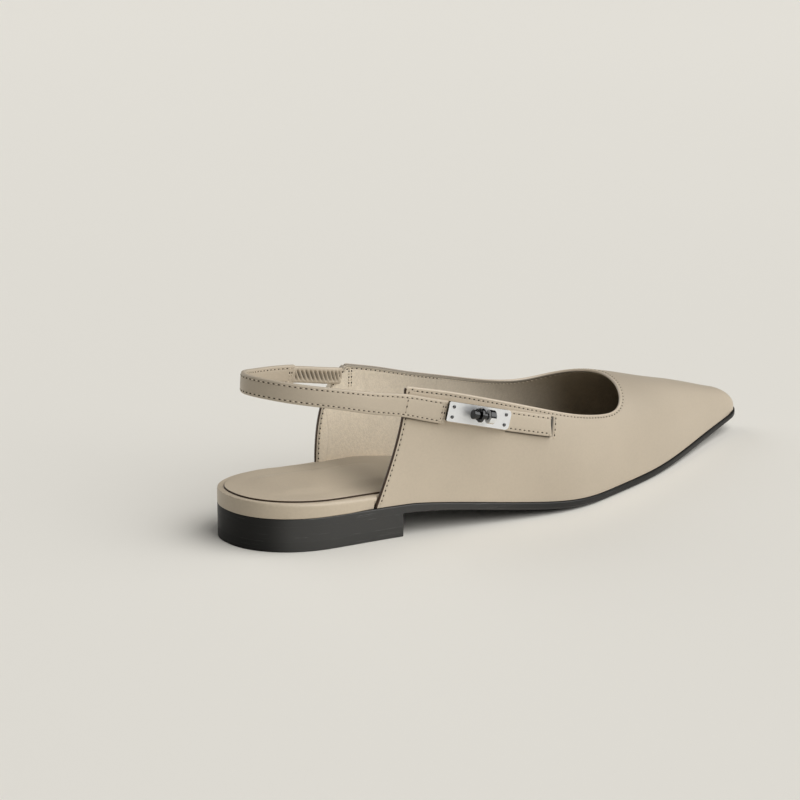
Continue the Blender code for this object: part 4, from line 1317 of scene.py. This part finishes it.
def sling_line():
    """Centre line of strap and elastic: points, widthwise directions, distances, and the strap's end."""
    points, leans = [], []
    for along in STRAP_ON_QUARTER:
        height = STRAP_FRONT[1] + STRAP_SLOPE * (along - STRAP_FRONT[0])
        point, up, _ = on_wall(along, height, LATERAL, LAID_ON + STRAP_THICK / 2.0)
        points.append(point)
        leans.append(up)
    middle = np.array(SLING_MIDDLE)
    for knot in SLING_FREE:
        point = np.array([knot.along, knot.across, knot.height])
        inward = unit(middle - point[:2])
        points.append(point)
        leans.append(unit(np.array([*(inward * knot.lean), 1.0])))
    for along, height in ELASTIC_ON_QUARTER:
        point, up, _ = on_wall(along, height, MEDIAL, -ELASTIC_DEPTH)
        points.append(point)
        leans.append(up)
    points, leans = np.array(points), np.array(leans)
    reach = np.concatenate([[0.0], np.cumsum(np.linalg.norm(np.diff(points, axis=0), axis=1))])
    joint = reach[len(STRAP_ON_QUARTER) + len(SLING_FREE) - 2]
    return points, leans, reach, joint


def ribbon_frame(points, leans, reach, at):
    """Points, widthwise directions and outward normals of the sling at given distances along it."""
    where = natural_spline(reach, points, at)
    run = unit(natural_spline(reach, points, at + 0.2) - natural_spline(reach, points, at - 0.2))
    lean = natural_spline(reach, leans, at)
    wide = unit(lean - run * np.sum(lean * run, axis=1, keepdims=True))
    return where, wide, np.cross(wide, run)


def face_height(half_thick, half_wide, place, inset):
    """Height of a strap's face at a place across it: round edges, a crown, dips along its stitch rows."""
    share = np.clip(np.abs(place) / half_wide, 0.0, 1.0)
    power, root = FACE_ROUND
    body = half_thick * (1.0 - share**power) ** root
    dip = SEAM_DEEP * np.exp(-(((np.abs(place) - (half_wide - inset)) / SEAM_WIDE) ** 2))
    return body + (FACE_CROWN * (1.0 - share**2) - dip) * (share < FACE_EDGE)


def ribbon(where, wide, outs, half_wide, half_thick, inset):
    """Strap with a modelled section along a row of points, its ends rounded off."""
    share = np.sin(np.linspace(-math.pi / 2.0, math.pi / 2.0, STRAP_COLUMNS + 1))
    half_wide = np.broadcast_to(half_wide, len(where))
    half_thick = np.broadcast_to(half_thick, len(where))
    run = unit(np.gradient(where, axis=0))
    rings = []
    order = [(0, -push, pull) for pull, push in STRAP_ROUND]
    order += [(i, 0.0, 0.0) for i in range(len(where))]
    order += [(len(where) - 1, push, pull) for pull, push in STRAP_ROUND[::-1]]
    for i, push, pull in order:
        half = half_wide[i] - pull * 0.5
        across = share * half
        front = face_height(max(half_thick[i] - pull, STRAP_LEAST), half, across, inset)
        section = list(zip(across, front)) + list(zip(across[-2:0:-1], -front[-2:0:-1]))
        middle = where[i] + run[i] * push
        rings.append([middle + wide[i] * beside + outs[i] * height for beside, height in section])
    return tube(rings)


def sew_ribbon(where, wide, outs, half_wide, half_thick, inset, faces=BOTH_FACES):
    """Stitch rows along both edges of a strap, on its faces."""
    half_wide = np.broadcast_to(half_wide, len(where))
    for face in faces:
        for edge in (-1, 1):
            place = edge * (half_wide - inset)
            height = face_height(half_thick, half_wide, place, inset)
            StitchRows.add(where + wide * place[:, None] + outs * (face * height)[:, None], face * outs)


def sew_across(where, wide, out, half_wide, half_thick, inset, faces):
    """A stitch row across a strap at one place."""
    place = np.linspace(-half_wide + inset, half_wide - inset, ROW_POINTS)
    height = face_height(half_thick, half_wide, place, inset)
    for face in faces:
        spots = where + np.outer(place, wide) + np.outer(face * height, out)
        StitchRows.add(spots, np.tile(face * out, (ROW_POINTS, 1)))


def make_strap(sizes, colours):
    """The heel strap, sewn along both edges, across its ends and through the quarter's back edge."""
    points, leans, reach, joint = sling_line()
    inset = sizes.strap_inset / MM

    def wide_at(at):
        return (STRAP_WIDE_FRONT + (STRAP_WIDE_BACK - STRAP_WIDE_FRONT) * ease(at, 0.0, STRAP_EASE)) / 2.0

    at = np.linspace(STRAP_ENDS - STRAP_REACH, joint - STRAP_ENDS, 170)
    where, wide, outs = ribbon_frame(points, leans, reach, at)
    edit = ribbon(where, wide, outs, wide_at(at), STRAP_THICK / 2.0, inset)
    mesh = mesh_of(edit, shared("strap_calf", calf_finish, colours.calf, STRAP_PAINTED_LIGHT))
    add_piece("sewn_strap", mesh, SHOE, "calf_beige", "heel_strap")
    sewn = slice(3, len(at) - 3)
    sew_ribbon(where[sewn], wide[sewn], outs[sewn], wide_at(at)[sewn], STRAP_THICK / 2.0, inset)
    rows = [(place, OUTSIDE) for place in STRAP_ROWS]
    rows += [(joint - before, BOTH_FACES) for before in STRAP_END_ROWS]
    for place, faces in rows:
        spot = np.array([place])
        here, across, out = (value[0] for value in ribbon_frame(points, leans, reach, spot))
        sew_across(here, across, out, wide_at(place), STRAP_THICK / 2.0, inset * 0.9, faces)


def gather_tree():
    """Raises slanted gathers on a band that carries its own distances and outward directions."""
    sockets = {
        "Gathers": "NodeSocketFloat",
        "Depth": "NodeSocketFloat",
        "Slant": "NodeSocketFloat",
        "Material": "NodeSocketMaterial",
    }
    graph, given = geometry_tree("gathers", sockets)
    across = graph.named("band_across")
    turns = graph.named("band_share") * given["Gathers"] + across * given["Slant"]
    wave = ((turns * (2.0 * math.pi)).cosine() * 0.5 + 0.5) ** GATHER_POWER
    inner = 1.0 - (across.size() / GATHER_EDGE).smallest(1.0) ** 3.0
    fold = (1.0 - wave) * graph.named("band_free") * inner
    sockets = {0: graph.named("band_out", "FLOAT_VECTOR"), "Scale": fold * given["Depth"] * -2.0}
    offset = graph.node("ShaderNodeVectorMath", {"operation": "SCALE"}, sockets)
    # Stored for the material too, which paints shade in the grooves between the gathers.
    settings = {"data_type": "FLOAT", "domain": "POINT"}
    sockets = {"Geometry": given["Geometry"], "Name": "fold", "Value": fold}
    marked = graph.node("GeometryNodeStoreNamedAttribute", settings, sockets)
    moved = graph.node("GeometryNodeSetPosition", None, {"Geometry": marked, "Offset": offset})
    return end_tree(graph, graph.painted(moved, given["Material"]))


def squared(values, power):
    """Values from -1 to 1, bent so that a circle becomes a rounded box."""
    return np.sign(values) * np.abs(values) ** power


def make_elastic(sizes, colours):
    """The gathered leather band over the elastic, sewn in under the medial quarter's lining."""
    points, leans, reach, joint = sling_line()
    start, end = joint - ELASTIC_LAP, reach[-1]
    at = np.linspace(start, end, 330)
    where, wide, outs = ribbon_frame(points, leans, reach, at)
    share = (at - start) / (end - start)
    flat = ease(at, *(end - before for before in ELASTIC_FLAT))
    free = ease(at, *(start + after for after in ELASTIC_FREE)) * (1.0 - flat)
    half_thick = (ELASTIC_THICK + (ELASTIC_END_THICK - ELASTIC_THICK) * flat) / 2.0
    turn = np.linspace(0.0, 2.0 * math.pi, BAND_POINTS, endpoint=False)
    wide_power, thick_power, rise_power = BAND_POWERS
    across = squared(np.cos(turn), wide_power)
    out = squared(np.sin(turn), thick_power)
    rise = squared(np.sin(turn), rise_power)
    rings = []
    marks = {"band_share": [], "band_across": [], "band_free": [], "band_out": []}
    for i in range(len(at)):
        beside = np.outer(across * ELASTIC_WIDE / 2.0, wide[i])
        rings.append(where[i] + beside + np.outer(out * half_thick[i], outs[i]))
        marks["band_share"].extend([share[i]] * len(turn))
        marks["band_across"].extend(across)
        marks["band_free"].extend([free[i]] * len(turn))
        marks["band_out"].extend(np.outer(across * BAND_LEAN, wide[i]) + np.outer(rise, outs[i]))
    leather = calf_finish("elastic_calf", colours.calf, STRAP_PAINTED_LIGHT, folded=True)
    mesh = mesh_of(tube(rings), leather)
    for name, values in marks.items():
        mark_points(mesh, name, values)
    inputs = {
        "Gathers": float(sizes.gathers),
        "Depth": sizes.gather_depth,
        "Slant": GATHER_SLANT,
        "Material": leather,
    }
    mesh = grown(mesh, gather_tree(), **inputs)
    mesh.shade_smooth()
    add_piece("gathered_elastic", mesh, SHOE, "calf_beige", "strap_elastic")
    heights = np.linspace(*ELASTIC_ROW_SPAN, 9)
    for place in ELASTIC_ROWS:
        alongs, depths = np.full(heights.shape, place), np.full(heights.shape, -UPPER_WALL)
        spots, _, normals = on_wall(alongs, heights, MEDIAL, depths)
        StitchRows.add(spots, -normals)


def tab_frame(along, outward):
    """Points, widthwise directions and normals of the tab on the lateral wall."""
    height = TAB_LINE[1] + TAB_SLOPE * (along - TAB_LINE[0])
    where, up, normals = on_wall(along, height, LATERAL, outward)
    run = unit(np.gradient(where, axis=0))
    wide = unit(up - run * np.sum(up * run, axis=1, keepdims=True))
    return where, wide, normals


def make_tab(sizes, colours):
    """The tongue under the plate, sewn along both edges, its end down in the quarter's slit."""
    flat_to, end_from, end_to = (TAB_FRONT + place for place in TAB_END)
    flat = np.linspace(TAB_BACK + STRAP_REACH + STRAP_ENDS, flat_to, 60)
    along = np.concatenate([flat, np.linspace(end_from, end_to, 16)])
    sunk = ease(along, *(TAB_FRONT + place for place in TAB_SINKS))
    middle = LAID_ON + TAB_THICK / 2.0
    where, wide, outs = tab_frame(along, middle - sunk * (middle + TAB_UNDER))
    inset = sizes.strap_inset / MM
    edit = ribbon(where, wide, outs, TAB_WIDE / 2.0, TAB_THICK / 2.0 * (1.0 - TAB_THINS * sunk), inset)
    mesh = mesh_of(edit, shared("strap_calf", calf_finish, colours.calf, STRAP_PAINTED_LIGHT))
    add_piece("sewn_tab", mesh, SHOE, "calf_beige", "lock_tab")
    under, before = TAB_SEWN
    sewn = (along > PLATE_CENTRE + PLATE_LONG / 2.0 - under) & (along < TAB_FRONT - before)
    sew_ribbon(where[sewn], wide[sewn], outs[sewn], TAB_WIDE / 2.0, TAB_THICK / 2.0, inset, OUTSIDE)
    point, run, across = wall_line(TAB_FRONT, TAB_LINE, TAB_SLOPE)
    place = np.linspace(-0.5, 0.5, 9) * (TAB_WIDE + SLIT_ROW_OVER)
    spots = point + run * SLIT_ROW + np.outer(place, across)
    spots, _, normals = on_wall(spots[:, 0], spots[:, 2], LATERAL, np.zeros(len(spots)))
    StitchRows.add(spots, normals)


def lock_matrix():
    """The turn-lock's own frame under the plate: X to the toe, Y up the shoe, Z out of the plate."""
    along = np.linspace(TAB_BACK, TAB_FRONT, CAD_TAB_POINTS)
    where, wide, normals = tab_frame(along, np.full(CAD_TAB_POINTS, CAD_LAID_ON + TAB_THICK / 2.0))
    under = np.abs(where[:, 0] - PLATE_CENTRE) < PLATE_LONG / 2.0 + 2.0
    middle = np.argmin(np.abs(where[:, 0] - PLATE_CENTRE))
    run = unit(where[under][-1] - where[under][0])
    out = unit(normals[middle] - run * np.dot(normals[middle], run))
    up = np.cross(out, run)
    edges = np.concatenate([where[under] + s * wide[under] * TAB_WIDE / 2.0 for s in (-1.0, 1.0)])
    edges = edges + np.tile(normals[under], (2, 1)) * TAB_THICK / 2.0
    centre = np.mean(where[under], axis=0)
    centre = centre + run * (PLATE_CENTRE - centre[0]) / run[0]
    lift = np.max((edges - centre) @ out) + SOLE_GAP
    matrix = Matrix((run, up, out)).transposed().to_4x4()
    matrix.translation = to_frame(centre + PLATE_RAISE * up + lift * out)
    return matrix


def spun(profile, steps):
    """Solid turned about Z from rows of radius and height that start and end on the axis."""
    edit = bmesh.new()
    edge = [edit.verts.new(Vector((radius, 0.0, height)) * MM) for radius, height in profile]
    for low, high in zip(edge, edge[1:]):
        edit.edges.new((low, high))
    turned = {"geom": edit.verts[:] + edit.edges[:], "cent": (0, 0, 0), "axis": (0, 0, 1)}
    bmesh.ops.spin(edit, angle=2.0 * math.pi, steps=steps, use_merge=True, **turned)
    weld(edit)
    bmesh.ops.recalc_face_normals(edit, faces=edit.faces)
    return edit


def make_plate(sizes, colours):
    """The polished plate: its edges broken, with a dark reflection painted on the sides that face up or
    back.
    """
    edit = bmesh.new()
    edit.from_mesh(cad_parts["lock_plate"].data)
    weld(edit)
    bmesh.ops.dissolve_limit(edit, angle_limit=math.radians(1.0), verts=edit.verts, edges=edit.edges)
    mesh = bevelled(mesh_of(edit), sizes.plate_round, math.radians(PLATE_CORNER))
    mesh.shade_flat()
    mesh.materials.clear()
    mesh.materials.append(metal_finish("plate_metal", colours.metal, 0.42))
    mesh.materials.append(metal_finish("plate_edge_metal", shade(colours.metal, 0.06), 0.16))
    run, up, out = (axis.to_3d() for axis in lock_matrix().transposed()[:3])
    # Painted reflection: sides that face up or back take the dark copy of the metal.
    for face in mesh.polygons:
        side = abs(face.normal.dot(out)) < PLATE_FLAT
        dark = face.normal.dot(up) > PLATE_DARK_REFLECTION or face.normal.dot(run) < -PLATE_DARK_REFLECTION
        face.material_index = int(side and dark)
    add_piece("polished_plate", mesh, SHOE, "polished_metal", "lock_plate")


def pin_tree():
    """Sets a pin on each point."""
    graph, given = geometry_tree("pins", {"Pin": "NodeSocketObject", "Material": "NodeSocketMaterial"})
    pin = graph.node("GeometryNodeObjectInfo", None, {"Object": given["Pin"]}, "Geometry")
    points = graph.node("GeometryNodeMeshToPoints", None, {"Mesh": given["Geometry"]})
    placed = graph.node("GeometryNodeInstanceOnPoints", None, {"Points": points, "Instance": pin})
    return end_tree(graph, graph.painted(placed, given["Material"]))


def make_pins(colours):
    """Pins with low domed heads in the plate's corners."""
    foot = PLATE_THICK + PIN_LIFT
    low, high = (PIN_HEAD * share for share in PIN_SHANK)
    profile = [(0.0, PIN_FOOT), (low, PIN_FOOT), (high, foot)]
    for turn in np.linspace(PIN_BREAK, math.pi / 2.0, 7):
        profile.append((PIN_HEAD * math.cos(turn), foot + PIN_DOME * math.sin(turn)))
    pin = bpy.data.objects.new("pin", mesh_of(spun(profile, 20)))
    x = PLATE_LONG / 2.0 - PIN_INSET[0]
    y = PLATE_WIDE / 2.0 - PIN_INSET[1]
    points = bpy.data.meshes.new("work")
    points.from_pydata([Vector((sx * x, sy * y, 0.0)) * MM for sx in (-1, 1) for sy in (1, -1)], [], [])
    # Painted reflection: the pins are dark metal, for the dark room they reflect.
    metal = metal_finish("pin_metal", shade(colours.metal, 0.16), 0.2)
    mesh = grown(points, pin_tree(), Pin=pin, Material=metal)
    bpy.data.objects.remove(pin)
    mesh.transform(lock_matrix())
    mesh.shade_smooth()
    nodes = (f"plate_pin_{number}" for number in range(1, 5))
    add_piece("plate_pins", mesh, SHOE, "polished_metal", *nodes)


def make_knob(colours):
    """The thumb turn: collar and stem with the turned toggle lying across them."""
    collar_top = KNOB_FOOT + KNOB_COLLAR_HIGH
    profile = (
        (0.0, KNOB_START),
        (KNOB_STEM, KNOB_START),
        (KNOB_STEM, KNOB_FOOT),
        (KNOB_COLLAR, KNOB_FOOT),
        (KNOB_COLLAR, collar_top),
        (KNOB_COLLAR - KNOB_CHAMFER, collar_top + KNOB_CHAMFER),
        (KNOB_STEM, collar_top + KNOB_CHAMFER),
        (KNOB_STEM, KNOB_RISE),
        (0.0, KNOB_RISE),
    )
    edit = spun(profile, 48)
    toggle = spun([(row.radius, row.along) for row in KNOB_TOGGLE], 64)
    lift = Matrix.Translation(Vector((0.0, 0.0, KNOB_RISE)) * MM)
    toggle.transform(lift @ Matrix.Rotation(math.pi / 2.0, 4, "Y"))
    crossbar = mesh_of(toggle)
    edit.from_mesh(crossbar)
    bpy.data.meshes.remove(crossbar)
    edit.normal_update()
    # Painted reflection: all but the drum's lower half is dark metal; the drum's end face is paler satin
    # metal.
    for face in edit.faces:
        centre = face.calc_center_median()
        on_drum = centre.x > DRUM_START * MM
        on_face = on_drum and face.normal.x < DRUM_FACE
        face.material_index = 2 if on_face else int(on_drum and centre.y < 0.0)
    metals = (
        metal_finish("knob_dark_metal", shade(colours.metal, 0.07), 0.14),
        metal_finish("knob_metal", colours.metal, 0.2),
        metal_finish("knob_face_metal", colours.metal, 0.5, 0.3),
    )
    mesh = mesh_of(edit, *metals)
    mesh.transform(lock_matrix() @ Matrix.Translation(Vector((*KNOB_PLACE, 0.0)) * MM))
    add_piece("thumb_turn", mesh, KNOB, "polished_metal", "turn_knob")


def stitch_tree():
    """Lays threads along rows of points, with a needle hole between each two.

    A shift counts in the size of the shape that it moves.
    """
    sockets = {
        "Pitch": "NodeSocketFloat",
        "Thread Length": "NodeSocketFloat",
        "Thread Width": "NodeSocketFloat",
        "Hole Width": "NodeSocketFloat",
        "Thread": "NodeSocketMaterial",
        "Hole": "NodeSocketMaterial",
    }
    graph, given = geometry_tree("stitches", sockets)
    curve = graph.node("GeometryNodeMeshToCurve", None, {"Mesh": given["Geometry"]})
    spaced = {"Curve": curve, "Length": given["Pitch"]}
    spots = graph.node("GeometryNodeResampleCurve", {"mode": "LENGTH"}, spaced)
    run = graph.node("GeometryNodeInputTangent")
    axes = {"primary_axis": "X", "secondary_axis": "Z"}
    directions = {0: run, 1: graph.named("outward", "FLOAT_VECTOR")}
    turn = graph.node("FunctionNodeAxesToRotation", axes, directions)

    def sized(x, y, z):
        return graph.node("ShaderNodeCombineXYZ", None, {0: x, 1: y, 2: z})

    def laid(segments, rings, scale, shift, material, chosen=None):
        sockets = {"Segments": segments, "Rings": rings, "Radius": 1.0}
        ball = graph.node("GeometryNodeMeshUVSphere", None, sockets)
        sockets = {"Points": spots, "Instance": ball, "Rotation": turn, "Scale": scale, "Selection": chosen}
        placed = graph.node("GeometryNodeInstanceOnPoints", None, sockets)
        sockets = {"Instances": placed, "Translation": shift, "Local Space": True}
        moved = graph.node("GeometryNodeTranslateInstances", None, sockets)
        return graph.painted(moved, material)

    wide = given["Thread Width"]
    thread_size = sized(given["Thread Length"] * 0.5, wide * 0.5, wide * THREAD_HIGH)
    thread = laid(8, 5, thread_size, sized(0.0, 0.0, THREAD_LIFT), given["Thread"])
    hole_wide = given["Hole Width"]
    hole_size = sized(hole_wide * 0.5, hole_wide * HOLE_BROAD, hole_wide * HOLE_DEEP)
    last = graph.node("GeometryNodeCurveEndpointSelection", None, {"Start Size": 0, "End Size": 1})
    chosen = graph.named("holed") * (1.0 - last) > 0.5
    hole = laid(8, 4, hole_size, sized(given["Pitch"] / hole_wide, 0.0, 0.0), given["Hole"], chosen)
    joined = graph.tree.nodes.new("GeometryNodeJoinGeometry")
    for part in (thread, hole):
        graph.tree.links.new(part.socket, joined.inputs[0])
    return end_tree(graph, Wire(graph, joined.outputs[0]))


def make_stitches(sizes, colours):
    """All the stitch rows, as threads and needle holes."""
    points, outs, holed, edges = [], [], [], []
    for row_points, row_outs, row_holed in StitchRows.rows:
        first = len(points)
        points.extend(to_frame(row_points))
        outs.extend(row_outs)
        holed.extend(row_holed)
        edges.extend((first + i, first + i + 1) for i in range(len(row_points) - 1))
    mesh = bpy.data.meshes.new("work")
    mesh.from_pydata([tuple(point) for point in points], edges, [])
    mark_points(mesh, "outward", outs)
    mark_points(mesh, "holed", holed)
    inputs = {
        "Pitch": sizes.stitch_pitch,
        "Thread Length": sizes.thread_long,
        "Thread Width": sizes.thread_wide,
        "Hole Width": sizes.hole_wide,
        "Thread": thread_finish(colours.thread),
        "Hole": hole_finish(colours.needle_hole),
    }
    mesh = grown(mesh, stitch_tree(), **inputs)
    mesh.shade_smooth()
    add_piece("stitch_rows", mesh, SHOE, "calf_beige")


def make_stage(stage, colours):
    """The pale floor, the soft lights and the camera."""
    scene = bpy.context.scene
    edit = bmesh.new()
    bmesh.ops.create_grid(edit, x_segments=8, y_segments=8, size=stage.floor_wide / 2.0)
    linked("floor", mesh_of(edit, floor_finish(colours.floor)))
    for name, power, spread_angle, tint, place in (
        ("key", stage.key, stage.key_spread, KEY_TINT, KEY_FROM),
        ("back", stage.back, math.radians(BACK_SPREAD), SKY_TINT, BACK_FROM),
    ):
        lamp = bpy.data.lights.new(name, "SUN")
        lamp.energy = power
        lamp.angle = spread_angle
        lamp.color = tint
        light = linked(name, lamp)
        light.rotation_euler = Vector(place).to_track_quat("Z", "Y").to_euler()
    world = bpy.data.worlds.new("studio")
    world.use_nodes = True
    back = world.node_tree.nodes["Background"]
    back.inputs["Color"].default_value = (*SKY_TINT, 1.0)
    back.inputs["Strength"].default_value = stage.sky
    scene.world = world
    scene.view_settings.view_transform = "Standard"
    lens = bpy.data.cameras.new("camera")
    lens.lens = CAMERA_LENS
    lens.sensor_width = CAMERA_SENSOR
    lens.clip_start = 0.05
    lens.clip_end = 100.0
    camera = linked("camera", lens)
    camera.location = CAMERA_PLACE
    camera.rotation_euler = np.radians((90.0 - CAMERA_ELEVATION, 0.0, CAMERA_AZIMUTH))
    scene.camera = camera


class SHOE_OT_stage(bpy.types.Operator):
    """Lay the floor and set the lights and the camera"""

    bl_idname = "shoe.stage"
    bl_label = "Stage"

    def execute(self, context):
        make_stage(context.scene.shoe_stage, context.scene.shoe_colours)
        return {"FINISHED"}


class SHOE_OT_upper(bpy.types.Operator):
    """Build the upper with its lining and edges"""

    bl_idname = "shoe.upper"
    bl_label = "Upper"

    def execute(self, context):
        make_upper(context.scene.shoe_sizes, context.scene.shoe_colours)
        return {"FINISHED"}


class SHOE_OT_sole(bpy.types.Operator):
    """Build the outsole, the heel stack and its wear layer"""

    bl_idname = "shoe.sole"
    bl_label = "Sole and heel"

    def execute(self, context):
        make_sole(context.scene.shoe_colours)
        return {"FINISHED"}


class SHOE_OT_footbed(bpy.types.Operator):
    """Build the wrapped footbed and the sock"""

    bl_idname = "shoe.footbed"
    bl_label = "Footbed and sock"

    def execute(self, context):
        make_footbed(context.scene.shoe_sizes, context.scene.shoe_colours)
        return {"FINISHED"}


class SHOE_OT_sling(bpy.types.Operator):
    """Build the heel strap and the gathered elastic"""

    bl_idname = "shoe.sling"
    bl_label = "Strap and elastic"

    def execute(self, context):
        make_strap(context.scene.shoe_sizes, context.scene.shoe_colours)
        make_elastic(context.scene.shoe_sizes, context.scene.shoe_colours)
        return {"FINISHED"}


class SHOE_OT_lock(bpy.types.Operator):
    """Build the turn-lock: tab, plate, pins and knob"""

    bl_idname = "shoe.lock"
    bl_label = "Turn-lock"

    def execute(self, context):
        sizes, colours = context.scene.shoe_sizes, context.scene.shoe_colours
        make_tab(sizes, colours)
        make_plate(sizes, colours)
        make_pins(colours)
        make_knob(colours)
        return {"FINISHED"}


class SHOE_OT_stitches(bpy.types.Operator):
    """Sew the stitch rows that the other pieces have marked"""

    bl_idname = "shoe.stitches"
    bl_label = "Stitches"

    def execute(self, context):
        make_stitches(context.scene.shoe_sizes, context.scene.shoe_colours)
        return {"FINISHED"}


OPERATORS = (
    SHOE_OT_stage,
    SHOE_OT_upper,
    SHOE_OT_sole,
    SHOE_OT_footbed,
    SHOE_OT_sling,
    SHOE_OT_lock,
    SHOE_OT_stitches,
)


class SHOE_PT_panel(bpy.types.Panel):
    """Steps, sizes and colours of the shoe"""

    bl_idname = "SHOE_PT_panel"
    bl_label = "Slingback flat"
    bl_space_type = "VIEW_3D"
    bl_region_type = "UI"
    bl_category = "Shoe"

    def draw(self, context):
        for operator in OPERATORS:
            self.layout.operator(operator.bl_idname)
        for group in (context.scene.shoe_sizes, context.scene.shoe_colours, context.scene.shoe_stage):
            box = self.layout.box()
            for name in group.__annotations__:
                box.prop(group, name)


GROUPS = (ShoeSizes, ShoeColours, ShoeStage)
CLASSES = (*GROUPS, *OPERATORS, SHOE_PT_panel)


def register():
    for item in CLASSES:
        bpy.utils.register_class(item)
    bpy.types.Scene.shoe_sizes = PointerProperty(type=ShoeSizes)
    bpy.types.Scene.shoe_colours = PointerProperty(type=ShoeColours)
    bpy.types.Scene.shoe_stage = PointerProperty(type=ShoeStage)


def unregister():
    del bpy.types.Scene.shoe_stage
    del bpy.types.Scene.shoe_colours
    del bpy.types.Scene.shoe_sizes
    for item in reversed(CLASSES):
        bpy.utils.unregister_class(item)


def main():
    register()
    bpy.ops.shoe.stage()
    bpy.ops.shoe.upper()
    bpy.ops.shoe.sole()
    bpy.ops.shoe.footbed()
    bpy.ops.shoe.sling()
    bpy.ops.shoe.lock()
    bpy.ops.shoe.stitches()


if __name__ == "__main__":
    main()
